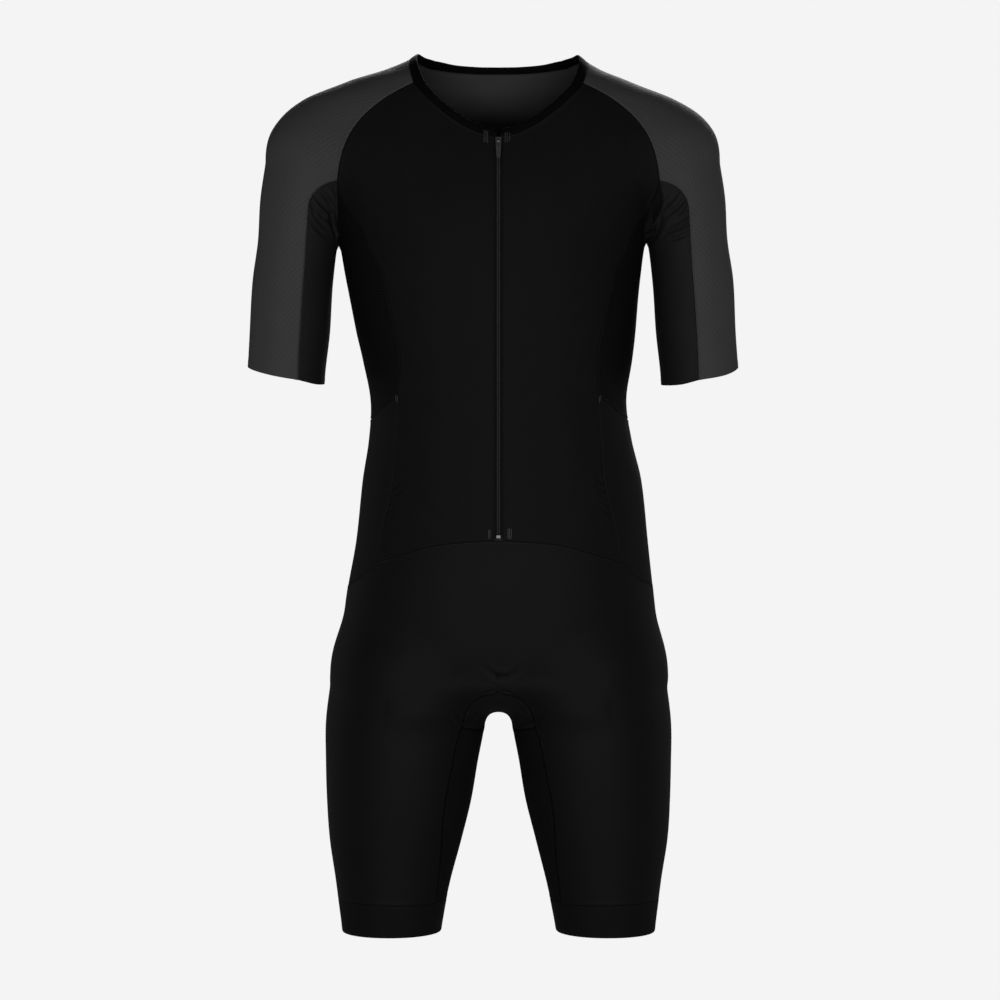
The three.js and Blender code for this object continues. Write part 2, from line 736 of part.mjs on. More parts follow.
function addBottomStop() {
  const z = CHAIN.foot - SEAM_GAP - STOP.height / 2;
  const { y } = facing(0, z, FRONT);
  const block = new THREE.BoxGeometry(STOP.width, STOP.back - STOP.face, STOP.height);
  const stop = add("zip_bottom_stop", block, "metal");
  stop.position.set(0, y + (STOP.face + STOP.back) / 2, z);
}

const sides = { left: seamsOf(LEFT), right: seamsOf(RIGHT) };
addUpper("left", sides.left);
addUpper("right", sides.right);
addMiddle(sides.left, sides.right);
addShorts("left", sides.left);
addShorts("right", sides.right);
addNeckBand(sides.left, sides.right);
addZipSide("left", LEFT);
addZipSide("right", RIGHT);
addSlider();
addBottomStop();

export default suit;
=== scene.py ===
import logging
import math
from abc import ABC, abstractmethod
from dataclasses import dataclass
from enum import Enum

import bpy
import numpy as np
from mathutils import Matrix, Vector


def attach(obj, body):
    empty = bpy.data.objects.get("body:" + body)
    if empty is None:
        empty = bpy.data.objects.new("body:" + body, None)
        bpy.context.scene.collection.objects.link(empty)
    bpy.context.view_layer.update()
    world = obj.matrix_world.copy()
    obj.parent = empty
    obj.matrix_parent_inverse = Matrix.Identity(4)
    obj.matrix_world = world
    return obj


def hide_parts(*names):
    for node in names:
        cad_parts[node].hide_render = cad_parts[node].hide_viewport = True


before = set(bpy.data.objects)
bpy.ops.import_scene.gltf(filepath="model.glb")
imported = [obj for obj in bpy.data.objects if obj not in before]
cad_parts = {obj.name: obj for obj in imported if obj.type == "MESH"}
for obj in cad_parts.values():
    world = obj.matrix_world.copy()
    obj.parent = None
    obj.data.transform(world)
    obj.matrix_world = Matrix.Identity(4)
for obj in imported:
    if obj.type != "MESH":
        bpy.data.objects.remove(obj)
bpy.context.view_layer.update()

LOG = logging.getLogger("triathlon_suit")
MM = 0.001
NEAR_ZERO = 1e-6
SUIT = "suit"
Points = np.ndarray


class Face(Enum):
    """The side of the suit that a seam's row lies on."""

    FRONT = -1
    BACK = 1


class Side(Enum):
    """The wearer's side."""

    LEFT = 1
    RIGHT = -1

    @property
    def word(self) -> str:
        """The side's name as the pieces use it."""
        return self.name.lower()


def unit(vectors: Points) -> Points:
    """Vectors brought to length 1."""
    return vectors / np.maximum(np.linalg.norm(vectors, axis=-1, keepdims=True), NEAR_ZERO)


def cubic(start: Points, end: Points, leave: Points, arrive: Points, t: Points) -> Points:
    """Points of a smooth curve between two ends.

    Args:
        start: where it begins.
        end: where it ends.
        leave: its speed at the start.
        arrive: its speed at the end.
        t: shares of the way.

    Returns:
        A point for each share.
    """
    turn = 2 * start - 2 * end + leave + arrive
    bend = 3 * end - 3 * start - 2 * leave - arrive
    return start + t * (leave + t * (bend + t * turn))


def smooth(knots: Points, values: Points, t: Points) -> Points:
    """Values between knots, on smooth curves.

    Args:
        knots: rising places.
        values: a row for each knot.
        t: the places that are wanted.

    Returns:
        A row for each place.
    """
    last = len(knots) - 1
    k = np.clip(np.searchsorted(knots, t, side="right") - 1, 0, last - 1)
    above, below = np.maximum(k - 1, 0), np.minimum(k + 2, last)
    shape = t.shape + (1,) * (values.ndim - 1)
    step = (knots[k + 1] - knots[k]).reshape(shape)
    s = (t - knots[k]).reshape(shape) / step
    upper, lower = values[k], values[k + 1]
    leave = (lower - values[above]) / (knots[k + 1] - knots[above]).reshape(shape) * step
    arrive = (values[below] - upper) / (knots[below] - knots[k]).reshape(shape) * step
    return cubic(upper, lower, leave, arrive, s)


class Sections:
    """Level sections of a limb, read as smooth curves through their rows, which run downwards."""

    def __init__(self, rows: list[tuple[float, ...]]) -> None:
        """Keeps the rows.

        Args:
            rows: z, middle, half width, front depth and back depth, in millimetres.
        """
        table = np.array(rows, float)
        self.z = table[:, 0]
        self.values = table[:, 1:]

    def at(self, z: Points) -> tuple[Points, Points]:
        """The heights held to the table's range, and the four values at each."""
        z_held = np.clip(z, self.z[-1], self.z[0])
        return z_held, smooth(-self.z, self.values, -z_held)


@dataclass(frozen=True)
class Limb:
    """One limb or the trunk: its sections, how square its oval is, and how it closes at top and foot."""

    sections: Sections
    power: float
    top: float
    foot: float
    side: int = 1
    shift: float = 0.0

    def outside(self, p: Points) -> Points:
        """How far points are outside this limb.

        Args:
            p: points in millimetres.

        Returns:
            Rough distances in millimetres, negative inside.
        """
        z_held, s = self.sections.at(p[..., 2])
        dx = p[..., 0] * self.side - self.shift - s[..., 0]
        dz = p[..., 2] - z_held
        depth = np.where(p[..., 1] < 0, s[..., 2], s[..., 3])
        height = np.where(dz > 0, self.top, self.foot)
        total = (
            np.abs(dx / s[..., 1]) ** self.power
            + np.abs(p[..., 1] / depth) ** self.power
            + np.abs(dz / height) ** self.power
        )
        ratio = np.maximum(total ** (1 / self.power), NEAR_ZERO)
        return np.sqrt(dx**2 + p[..., 1] ** 2 + dz**2) * (1 - 1 / ratio) - (ratio <= NEAR_ZERO) * s[..., 1]


def blended(a: Points, b: Points, reach: float | Points) -> Points:
    """The smooth union of two limbs' distances."""
    share = np.maximum(reach - np.abs(a - b), 0) / reach
    return np.minimum(a, b) - share * share * reach / 4


# Each row is a level: z, middle, half width, front depth and back depth, in millimetres.
TRUNK = Sections([
    (30, 0, 72, 44, 60),
    (0, -1, 89, 52, 66),
    (-17, -6, 119, 59, 74),
    (-30, -11, 156, 65, 81),
    (-50, -11, 199, 74, 90),
    (-85, -7, 223, 86, 102),
    (-105, -6, 222, 93, 107),
    (-130, -6, 207, 101, 111),
    (-165, -7, 184, 109, 114),
    (-206, -7, 171, 114, 113),
    (-250, -6, 164, 116, 108),
    (-306, -3, 156, 113, 101),
    (-340, -1, 150, 109, 97),
    (-385, 0, 143, 104, 94),
    (-429, 2, 147, 102, 97),
    (-474, 4, 156, 102, 105),
    (-540, 4, 163, 103, 119),
    (-600, 2, 172, 103, 127),
    (-655, 2, 177.5, 99, 124),
    (-690, 2, 181, 93, 117),
])
ARM = Sections([
    (-120, 201, 52, 57, 58),
    (-160, 209, 50, 57, 58),
    (-206, 217, 44.8, 54, 56),
    (-250, 223, 45, 52, 54),
    (-306, 226.5, 44.7, 50, 52),
    (-350, 230.5, 43.5, 48, 50),
    (-400, 233, 42.5, 47, 49),
])
LEG = Sections([
    (-690, 98, 89, 90, 114),
    (-744, 104, 89.5, 89, 106),
    (-790, 108.5, 85.3, 85, 93),
    (-834, 111.5, 81, 80, 84),
    (-880, 116, 73.7, 73, 75),
    (-925, 118.5, 64.5, 65, 66),
    (-970, 120, 57, 58, 58),
    (-1000, 121, 53.5, 54, 54),
])
# The two sleeves don't stand quite alike in the photograph.
WIDER_ARM = {Side.LEFT: -6.3, Side.RIGHT: 6.3}


class Form:
    """The filled suit's outer surface, in millimetres."""

    trunk = Limb(TRUNK, 2.3, 1000, 40)
    arms = tuple(Limb(ARM, 2.1, 57, 30, side.value, WIDER_ARM[side]) for side in Side)
    legs = tuple(Limb(LEG, 2.1, 80, 1000, side.value) for side in Side)
    crotch_blend, hip_blend = 30, 20
    shoulder_blend, shoulder_z = 40, -120
    armpit_blend, armpit_z = 7, -185
    probe, stride, flattest = 0.2, 12, 0.05
    deepest, halvings = 200.0, 30

    def value(self, p: Points) -> Points:
        """How far points are outside the suit.

        Args:
            p: points in millimetres.

        Returns:
            Rough distances: zero on the surface, negative inside.
        """
        legs = blended(self.legs[0].outside(p), self.legs[1].outside(p), self.crotch_blend)
        lower = blended(self.trunk.outside(p), legs, self.hip_blend)
        down = np.clip((p[..., 2] - self.shoulder_z) / (self.armpit_z - self.shoulder_z), 0, 1)
        reach = self.shoulder_blend + (self.armpit_blend - self.shoulder_blend) * down * down * (3 - 2 * down)
        return blended(lower, np.minimum(self.arms[0].outside(p), self.arms[1].outside(p)), reach)

    def slope(self, p: Points) -> Points:
        """The distance's gradient.

        Args:
            p: points in millimetres.

        Returns:
            A vector for each point.
        """
        out = np.empty_like(p)
        for axis in range(3):
            step = np.zeros(3)
            step[axis] = self.probe
            out[..., axis] = (self.value(p + step) - self.value(p - step)) / (2 * self.probe)
        return out

    def normal(self, p: Points) -> Points:
        """Unit vectors off the surface."""
        return unit(self.slope(p))

    def settle(self, p: Points, rounds: int = 12) -> Points:
        """Points brought onto the surface along its slope.

        Args:
            p: points near the surface.
            rounds: how many steps to take.

        Returns:
            The settled points.
        """
        q = np.array(p, float)
        for _ in range(rounds):
            slope = self.slope(q)
            size = np.maximum((slope**2).sum(-1), self.flattest)
            q -= slope * np.clip(self.value(q) / size, -self.stride, self.stride)[..., None]
        return q

    def facing(self, x: Points, z: Points, face: Face) -> Points:
        """The surface points in front of or behind points of the middle plane.

        Args:
            x: places across, in millimetres.
            z: heights, in millimetres.
            face: the side to look towards.

        Returns:
            One point for each pair.
        """
        x, z = np.broadcast_arrays(np.asarray(x, float), np.asarray(z, float))
        near, far = np.zeros(x.shape), np.full(x.shape, self.deepest)
        for _ in range(self.halvings):
            middle = (near + far) / 2
            inside = self.value(np.stack([x, face.value * middle, z], -1)) < 0
            near, far = np.where(inside, middle, near), np.where(inside, far, middle)
        return np.stack([x, face.value * near, z], -1)


FORM = Form()
# How many points a seam has between two marks, and a part of a seam in each step.
MARK_POINTS = 24
STEP_POINTS = 20


@dataclass(frozen=True)
class Seam:
    """A seam on the form: a dense run of points and the steps that the pattern divides it into."""

    run: Points
    steps: int

    def at(self, t: Points) -> Points:
        """Points of the seam, settled on the form.

        Args:
            t: shares of the seam's length.

        Returns:
            A point for each share.
        """
        lengths = np.concatenate([[0], np.cumsum(self.spans)])
        place = np.clip(np.asarray(t, float), 0, 1) * lengths[-1]
        points = np.stack([np.interp(place, lengths, self.run[:, k]) for k in range(3)], -1)
        return FORM.settle(points, 4)

    @property
    def spans(self) -> Points:
        """The distances between the run's points."""
        return np.linalg.norm(np.diff(self.run, axis=0), axis=1)

    @property
    def length(self) -> float:
        """The seam's length in millimetres."""
        return float(self.spans.sum())

    def turned(self) -> "Seam":
        """The same seam from its other end."""
        return Seam(self.run[::-1], self.steps)

    def part(self, start: float, end: float) -> "Seam":
        """A stretch of the seam between two shares of its length."""
        steps = max(round(self.steps * abs(end - start)), 1)
        return Seam(self.at(np.linspace(start, end, STEP_POINTS * steps + 1)), steps)


def spline(marks: Points) -> Points:
    """A smooth curve through marks that doesn't loop where they are unevenly spaced.

    Args:
        marks: the points that it passes through.

    Returns:
        A dense run of points.
    """
    padded = np.concatenate([[2 * marks[0] - marks[1]], marks, [2 * marks[-1] - marks[-2]]])
    t = np.linspace(0, 1, MARK_POINTS, endpoint=False)[:, None]
    pieces = []
    for k in range(len(marks) - 1):
        a, b, c, d = padded[k : k + 4]
        d0, d1, d2 = (max(np.linalg.norm(q - p), NEAR_ZERO) ** 0.5 for p, q in ((a, b), (b, c), (c, d)))
        leave = ((b - a) / d0 - (c - a) / (d0 + d1) + (c - b) / d1) * d1
        arrive = ((c - b) / d1 - (d - b) / (d1 + d2) + (d - c) / d2) * d1
        pieces.append(cubic(b, c, leave, arrive, t))
    return np.concatenate([*pieces, marks[-1:]])


F, B = Face.FRONT, Face.BACK
# Places on the left side, across and up, in millimetres.
RAGLAN = [(93.5, -34), (112, -43.5), (130, -55), (149, -71.5), (161, -87), (170, -106), (175, -125), (177.5, -142)]
SPLIT = [(177.5, -142), (190, -145.5), (201, -153), (208, -165), (210.5, -190), (213, -230), (217, -279),
         (220, -325), (221.5, -361)]
SIDE_SEAM = [(177.5, -142), (168, -167), (150, -190), (137, -221), (127, -241), (121, -269), (114, -301),
             (108.5, -331)]
INNER_LEG = [(40, -745), (45, -760), (52.5, -797), (58.5, -828), (61.5, -853), (63, -880), (66, -912), (69.6, -944)]
PAD_END = [(0, -702.5), (18.5, -709), (31, -718), (38, -732), (40, -745)]
ZIP_HALF = 4.0
HEM_Z = -982.0

Row = tuple[float | Face, ...]


def on(face: Face, rows: list[tuple[float, float]]) -> list[Row]:
    """Rows that all lie on one face."""
    return [(x, z, face) for x, z in rows]


WAIST_FRONT = [(0, -535), (32, -536.5), (64, -540), (92.5, -547), (113.5, -554), (138, -563)]
# Each seam's steps and marks. A mark is x, z and the face that it lies on, or a rough y where it lies on neither. A
# fourth number is the share of its sleeve's uneven stand that it follows.
SEAMS: dict[str, tuple[int, list[Row]]] = {
    "zip_edge": (23, on(F, [(ZIP_HALF, -93.5), (ZIP_HALF, -310), (ZIP_HALF, -535)])),
    "neck_front": (7, on(F, [(ZIP_HALF, -93.5), (17, -91), (40, -80.5), (58, -68), (72, -56), (84, -44.5),
                             (93.5, -34)])),
    "neck_sleeve": (10, [(93.5, -34, F), (98, -18, F), (97, -5, 0), (90, -7, B), (78, -11.8, B)]),
    "neck_back": (6, on(B, [(0, -17), (26, -16.6), (53, -14.8), (78, -11.8)])),
    "raglan_front": (7, on(F, RAGLAN)),
    "raglan_back": (7, on(B, [(78, -11.8), (108, -35), *RAGLAN[2:]])),
    "ridge": (17, [(97, -5, 0), (130, -20, 0), (165, -33, 0), (200, -47, 0), (228, -66, 0), (247, -95, 0),
                   (258, -139, 0), (262, -205, 0), (269, -272, 0), (274, -347, 0)]),
    "split_front": (10, on(F, SPLIT)),
    "split_back": (10, on(B, SPLIT)),
    "armhole": (8, [(177.5, -142, F), (178.5, -170, -54, 0.3), (172.5, -196, -29, 0.8), (170.7, -205, 0, 1),
                    (172.5, -196, 29, 0.8), (178.5, -170, 54, 0.3), (177.5, -142, B)]),
    "cuff_outer": (10, [(221.5, -361, F), (250, -356, F), (274, -347, 0), (250, -356, B), (221.5, -361, B)]),
    "cuff_inner": (8, [(221.5, -361, F), (203, -366, F), (188, -367, 0), (203, -366, B), (221.5, -361, B)]),
    "side_front": (9, on(F, [*SIDE_SEAM, (110.5, -378)])),
    "side_back": (9, on(B, [*SIDE_SEAM, (110.5, -386)])),
    "pocket_edge": (8, [(110.5, -378, F), (124, -388, F), (137, -400, F), (143, -406, 0), (133, -401, B),
                        (110.5, -386, B)]),
    "hip_front": (7, on(F, [(110.5, -378), (113.5, -434), (115.5, -468), (119.5, -490), (129, -527), (132.5, -547),
                            (138, -563)])),
    "hip_back": (7, on(B, [(110.5, -386), (113, -434), (118, -490), (128, -545), (138, -592)])),
    "yoke_foot": (6, on(B, [(0, -158), (60, -157), (120, -152), (177.5, -142)])),
    "waist_front": (7, on(F, WAIST_FRONT)),
    "waist_zip": (7, on(F, [(ZIP_HALF, -535), *WAIST_FRONT[1:]])),
    "waist_side_front": (4, [(138, -563, F), (152, -578, F), (172, -597, 0)]),
    "waist_side_back": (4, [(172, -597, 0), (158, -595, B), (138, -592, B)]),
    "waist_back": (6, on(B, [(0, -595), (70, -594), (138, -592)])),
    "centre_front": (6, on(F, [(0, -535), (0, -620), (0, -702.5)])),
    "centre_back": (6, on(B, [(0, -595), (0, -650), (0, -702.5)])),
    "pad_front": (3, on(F, PAD_END)),
    "pad_back": (3, on(B, PAD_END)),
    "pad_side": (8, [(40, -745, F), (24, -750, -45), (16, -752, 0), (24, -750, 45), (40, -745, B)]),
    "inner_front": (8, on(F, INNER_LEG)),
    "inner_back": (8, on(B, INNER_LEG)),
    "leg_side": (17, [(172, -597, 0), (181, -650, 0), (190, -700, 0), (194, -766, 0), (193, -812, 0), (192, -857, 0),
                      (187, -900, 0), (181, -944, 0)]),
    "band_front": (11, [(69.6, -944, F), (112, -945, F), (150, -944, F), (181, -944, 0)]),
    "band_inner": (8, [(69.6, -944, F), (58, -945, 0), (69.6, -944, B)]),
    "band_back": (10, [(69.6, -944, B), (112, -945, B), (150, -944, B), (181, -944, 0)]),
    "edge_front": (7, on(F, [(ZIP_HALF, -86), (14.5, -84), (36.5, -74), (53.5, -62), (67, -50), (78.5, -37.5),
                             (85, -25)])),
    "edge_sleeve": (10, [(85, -25, F), (89.3, -11, F), (89, 0, 0), (82, -1.2, B), (71, -3.8, B)]),
    "edge_back": (6, on(B, [(0, -9.6), (24, -9.2), (50, -7.3), (71, -3.8)])),
}


def seam(name: str, side: Side) -> Seam:
    """A seam of one side of the suit.

    Args:
        name: its name in the table.
        side: the wearer's side.

    Returns:
        The seam on the form.
    """
    steps, rows = SEAMS[name]
    marks = []
    for x, z, lies, *follows in rows:
        across = (x + sum(follows) * WIDER_ARM[side]) * side.value
        if isinstance(lies, Face):
            marks.append(FORM.facing(across, z, lies))
        else:
            marks.append(FORM.settle(np.array([across, lies, z], float)))
    return Seam(spline(np.array(marks)), steps)


SEWN: dict[Side, dict[str, Seam]] = {side: {name: seam(name, side) for name in SEAMS} for side in Side}


@dataclass(frozen=True)
class EdgeRun(Seam):
    """A panel's edge, made of seams end to end."""

    seams: tuple[Seam, ...] = ()

    def at(self, t: Points) -> Points:
        """Points of the edge, where each seam has a share by its steps.

        Args:
            t: shares of the edge.

        Returns:
            A point for each share.
        """
        t = np.asarray(t, float)
        ends = np.cumsum([0, *(s.steps for s in self.seams)]) / self.steps
        out = np.zeros((len(t), 3))
        which = np.clip(np.searchsorted(ends, t, side="right") - 1, 0, len(self.seams) - 1)
        for k, part in enumerate(self.seams):
            mine = which == k
            if mine.any():
                out[mine] = part.at((t[mine] - ends[k]) / (ends[k + 1] - ends[k]))
        return out


def run(*seams: Seam) -> Seam:
    """Seams end to end, as an edge whose shares follow their steps."""
    return EdgeRun(np.concatenate([s.run for s in seams]), sum(s.steps for s in seams), seams)


def right_to_left(name: str) -> Seam:
    """A seam of both sides, from the right end to the left."""
    return run(SEWN[Side.RIGHT][name].turned(), SEWN[Side.LEFT][name])


# Colour and finishes

def linear(value: str) -> tuple[float, float, float, float]:
    """An sRGB hex colour as linear values."""
    parts = [int(value[k : k + 2], 16) / 255 for k in (1, 3, 5)]
    return (*(v / 12.92 if v <= 0.04045 else ((v + 0.055) / 1.055) ** 2.4 for v in parts), 1.0)


def node(tree: bpy.types.NodeTree, kind: str, settings: dict | None = None, **links: object) -> bpy.types.Node:
    """Adds a node with its settings and links.

    Args:
        tree: the node tree.
        kind: the node's type.
        settings: its properties by name.
        **links: input names, with _ for a space and a trailing number for an index, to a socket or a value.

    Returns:
        The new node.
    """
    made = tree.nodes.new(kind)
    for key, value in (settings or {}).items():
        setattr(made, key, value)
    for key, value in links.items():
        numbered = key[0] == "i" and key[1:].isdigit()
        socket = made.inputs[int(key[1:]) if numbered else key.replace("_", " ")]
        if isinstance(value, bpy.types.NodeSocket):
            tree.links.new(value, socket)
        else:
            socket.default_value = value
    return made


def cleared(owner: bpy.types.Material | bpy.types.World) -> bpy.types.NodeTree:
    """Empties a material's or a world's node tree.

    Args:
        owner: the material or world.

    Returns:
        Its empty tree.
    """
    owner.use_nodes = True
    owner.node_tree.nodes.clear()
    return owner.node_tree


class Weave(Enum):
    """How a cloth's surface is made: its two waves' distances across and down, as shares of the cloth's pitch."""

    JERSEY = (1, 0), (0.5, 0.9)  # fine knit
    NET = (1, 1.5), (-1, 1.5)  # raised diamond net
    RIB = (1.35, 1), (0.55, -1.3)  # slanting ribs with pin holes
    COMPRESSION = (1, 2.2), (1.1, -2.2)  # dense warp knit
    ELASTIC = (0, 1), (0.8, 0)  # ribbed elastic
    BINDING = (1, 0), (0, 1)  # folded smooth knit
    TAPE = (1, 1), (1, -1)  # woven tape


def sine(tree: bpy.types.NodeTree, u: object, v: object, across: float, down: float) -> bpy.types.NodeSocket:
    """A wave over the cloth.

    Args:
        tree: the node tree.
        u: the place across the cloth, in millimetres.
        v: the place down the cloth, in millimetres.
        across: how far apart its crests are across, or 0 where they run across.
        down: how far apart they are down, or 0 where they run down.

    Returns:
        The wave's socket, from -1 to 1.
    """
    turn = 2 * math.pi
    first = node(tree, "ShaderNodeMath", {"operation": "MULTIPLY"}, i0=u, i1=turn / across if across else 0.0)
    both = node(tree, "ShaderNodeMath", {"operation": "MULTIPLY_ADD"}, i0=v, i1=turn / down if down else 0.0,
                i2=first.outputs[0])
    return node(tree, "ShaderNodeMath", {"operation": "SINE"}, i0=both.outputs[0]).outputs[0]


Pattern = tuple[bpy.types.NodeSocket, bpy.types.NodeSocket, float, float]


@dataclass(frozen=True)
class Finish(ABC):
    """What every finish has: its names and two tones. Each kind adds a pattern and how it takes the light."""

    name: str
    slot: str
    colour: str
    shade: str

    @abstractmethod
    def pattern(self, tree: bpy.types.NodeTree) -> Pattern:
        """Adds the nodes of the pattern.

        Args:
            tree: the node tree.

        Returns:
            The tone's share and the relief's height, strength and depth in millimetres.
        """

    def material(self) -> bpy.types.Material:
        """Builds the material, in tones between the shade and the colour.

        Returns:
            The new material.
        """
        material = bpy.data.materials.new(self.name)
        tree = cleared(material)
        share, height, strength, depth = self.pattern(tree)
        tone = node(tree, "ShaderNodeMix", {"data_type": "RGBA"}, Factor=share, i6=linear(self.shade),
                    i7=linear(self.colour))
        bump = node(tree, "ShaderNodeBump", Height=height, Strength=strength, Distance=depth * MM)
        surface = node(tree, "ShaderNodeBsdfPrincipled", Base_Color=tone.outputs[2], Roughness=self.roughness,
                       Metallic=self.metallic, Specular_IOR_Level=self.specular, Normal=bump.outputs[0])
        node(tree, "ShaderNodeOutputMaterial", Surface=surface.outputs[0])
        return material


@dataclass(frozen=True)
class Cloth(Finish):
    """A cloth's finish: its weave and light."""

    weave: Weave
    pitch: float
    relief: float
    roughness: float
    specular: float
    metallic = 0.0
    # How broad the net's strands are, how much of the mesh's relief its ribs make, and the size and strength of the
    # patches of uneven tone.
    strand, ribbed = 0.55, 0.75
    patches, patchy = 0.035, 0.14

    def height(self, tree: bpy.types.NodeTree, u: object, v: object) -> bpy.types.NodeSocket:
        """The weave's height over the cloth.

        Args:
            tree: the node tree.
            u: the place across the cloth, in millimetres.
            v: the place down the cloth, in millimetres.

        Returns:
            The height's socket, about 0 to 1.
        """
        waves = [sine(tree, u, v, self.pitch * across, self.pitch * down) for across, down in self.weave.value]
        if self.weave is Weave.NET:
            crest = [node(tree, "ShaderNodeMath", {"operation": "ABSOLUTE"}, i0=w).outputs[0] for w in waves]
            low = node(tree, "ShaderNodeMath", {"operation": "MINIMUM"}, i0=crest[0], i1=crest[1]).outputs[0]
            return node(tree, "ShaderNodeMapRange", Value=low, i1=0.0, i2=self.strand, i3=1.0,
                        i4=0.0).outputs[0]
        share = self.ribbed if self.weave is Weave.RIB else 0.5
        first = node(tree, "ShaderNodeMath", {"operation": "MULTIPLY"}, i0=waves[0], i1=share / 2)
        both = node(tree, "ShaderNodeMath", {"operation": "MULTIPLY_ADD"}, i0=waves[1], i1=(1 - share) / 2,
                    i2=first.outputs[0])
        return node(tree, "ShaderNodeMath", {"operation": "ADD"}, i0=both.outputs[0], i1=0.5).outputs[0]

    def pattern(self, tree: bpy.types.NodeTree) -> Pattern:
        """The weave, drawn from each piece's own cloth measure in millimetres, with a slow unevenness.

        Args:
            tree: the node tree.

        Returns:
            The tone's share and the relief's height, strength and depth in millimetres.
        """
        place = node(tree, "ShaderNodeAttribute", {"attribute_name": "cloth"})
        split = node(tree, "ShaderNodeSeparateXYZ", Vector=place.outputs["Vector"])
        height = self.height(tree, split.outputs[0], split.outputs[1])
        spread = node(tree, "ShaderNodeTexNoise", {"noise_dimensions": "3D"}, Vector=place.outputs["Vector"],
                      Scale=self.patches, Detail=3.0, Roughness=0.55)
        uneven = node(tree, "ShaderNodeMapRange", Value=spread.outputs[0], i1=0.3, i2=0.7, i3=-self.patchy,
                      i4=self.patchy)
        mixed = node(tree, "ShaderNodeMath", {"operation": "ADD", "use_clamp": True}, i0=height, i1=uneven.outputs[0])
        return mixed.outputs[0], height, 1.0, self.relief


@dataclass(frozen=True)
class Hard(Finish):
    """A finish of the zip or the thread."""

    roughness: float
    metallic: float
    specular: float = 0.5

    def pattern(self, tree: bpy.types.NodeTree) -> Pattern:
        """The slight orange-peel of a cast or moulded surface.

        Args:
            tree: the node tree.

        Returns:
            The tone's share and the relief's height, strength and depth in millimetres.
        """
        place = node(tree, "ShaderNodeTexCoord")
        noise = node(tree, "ShaderNodeTexNoise", Vector=place.outputs["Object"], Scale=900.0, Detail=2.0)
        return noise.outputs[0], noise.outputs[0], 0.25, 0.05


# Patterns finer than the eye can part at the photograph's scale are drawn as coarse as it can show them.
# Smooth black jersey: an even dull black with a fine knit.
JERSEY = Cloth("polyester_jersey", "jersey", "#0f0f0f", "#090909", Weave.JERSEY, 1.3, 0.05, 0.72, 0.08)
# The same jersey less stretched at the under-sleeves: a little lighter, so that its folds show.
UNDER = Cloth("under_sleeve_jersey", "jersey", "#191919", "#101010", Weave.JERSEY, 1.3, 0.05, 0.7, 0.10)
# Textured jersey: dark grey under a low diamond net, which breaks the light up softly.
SLEEVE = Cloth("textured_sleeve_jersey", "sleeve_cloth", "#3e3e3e", "#363636", Weave.NET, 9.0, 0.10, 0.75, 0.12)
# The textured jersey's back: plain and soft, as seen inside the neck.
REVERSE = Cloth("sleeve_jersey_reverse", "sleeve_cloth", "#3a3a3a", "#303030", Weave.JERSEY, 1.5, 0.05, 0.8, 0.10)
# Open mesh: slanting ribs over dark holes, so the side panels look darker than the fronts.
MESH = Cloth("ribbed_side_mesh", "ribbed_mesh", "#0e0e0e", "#050505", Weave.RIB, 3.2, 0.14, 0.75, 0.06)
# Dense warp knit: smoother than the jersey, with a faint gleam over the thighs.
SHORTS = Cloth("compression_jersey", "shorts_cloth", "#0e0e0e", "#090909", Weave.COMPRESSION, 1.4, 0.05, 0.66, 0.08)
# Brushed jersey of the inner legs: no gleam at all.
MATT = Cloth("matt_inner_jersey", "matt_jersey", "#101010", "#0a0a0a", Weave.JERSEY, 1.5, 0.06, 0.9, 0.06)
# The gusset's cover: matt, and lighter than the inner legs.
PAD = Cloth("pad_cover_jersey", "matt_jersey", "#141414", "#0c0c0c", Weave.JERSEY, 1.4, 0.06, 0.8, 0.08)
# Woven elastic: fine level ribs round the leg.
ELASTIC = Cloth("leg_elastic", "elastic", "#0d0d0d", "#080808", Weave.ELASTIC, 1.8, 0.10, 0.75, 0.08)
# Folded binding: nearly black and without texture. It also colours the band of stitching along the gusset's and inner
# legs' seams, which is partly painted shadow under the pad's edge.
BINDING = Cloth("neck_binding", "binding", "#070707", "#040404", Weave.BINDING, 1.1, 0.04, 0.8, 0.04)
# Woven tape: a fine herringbone in the dark gap beside the coil.
TAPE = Cloth("zip_tape_weave", "zip_tape", "#121212", "#0a0a0a", Weave.TAPE, 1.0, 0.06, 0.85, 0.06)
# Black thread with a slight gleam, so that the rows of stitches read beside the seams.
THREAD = Hard("polyester_thread", "jersey", "#161616", "#0c0c0c", 0.65, 0.0, 0.15)
# Grey thread, which gives thin light lines below the neck band and along the waist. Along each pocket edge its row is
# partly topstitching and partly a painted highlight of the folded edge.
GREY_THREAD_AND_HIGHLIGHT = Hard("grey_polyester_thread", "jersey", "#3c3c3c", "#2a2a2a", 0.6, 0.0, 0.2)
# Dense light thread of the bars at the zip's ends.
BARTACK = Hard("bartack_thread", "jersey", "#5a5a5a", "#3c3c3c", 0.55, 0.0, 0.25)
# Moulded nylon: two light rows with a dark line between them.
COIL = Hard("nylon_coil", "zip_coil", "#5c5c5c", "#484848", 0.42, 0.0, 0.35)
# Lacquered cast metal: a smooth dark grey with soft highlights.
METAL = Hard("lacquered_cast_zinc", "zip_metal", "#3a3a3a", "#2a2a2a", 0.36, 0.15)
FINISHES = (JERSEY, UNDER, SLEEVE, REVERSE, MESH, SHORTS, MATT, PAD, ELASTIC, BINDING, TAPE, THREAD, GREY_THREAD_AND_HIGHLIGHT,
            BARTACK, COIL, METAL)
MATERIALS = {finish: finish.material() for finish in FINISHES}
# An edge that turns by more than this stays sharp.
SHARP_ANGLE = math.radians(55)


def linked(name: str, data: bpy.types.ID) -> bpy.types.Object:
    """Adds an object to the scene.

    Args:
        name: its name.
        data: its mesh, light or camera.

    Returns:
        The new object.
    """
    made = bpy.data.objects.new(name, data)
    bpy.context.scene.collection.objects.link(made)
    return made


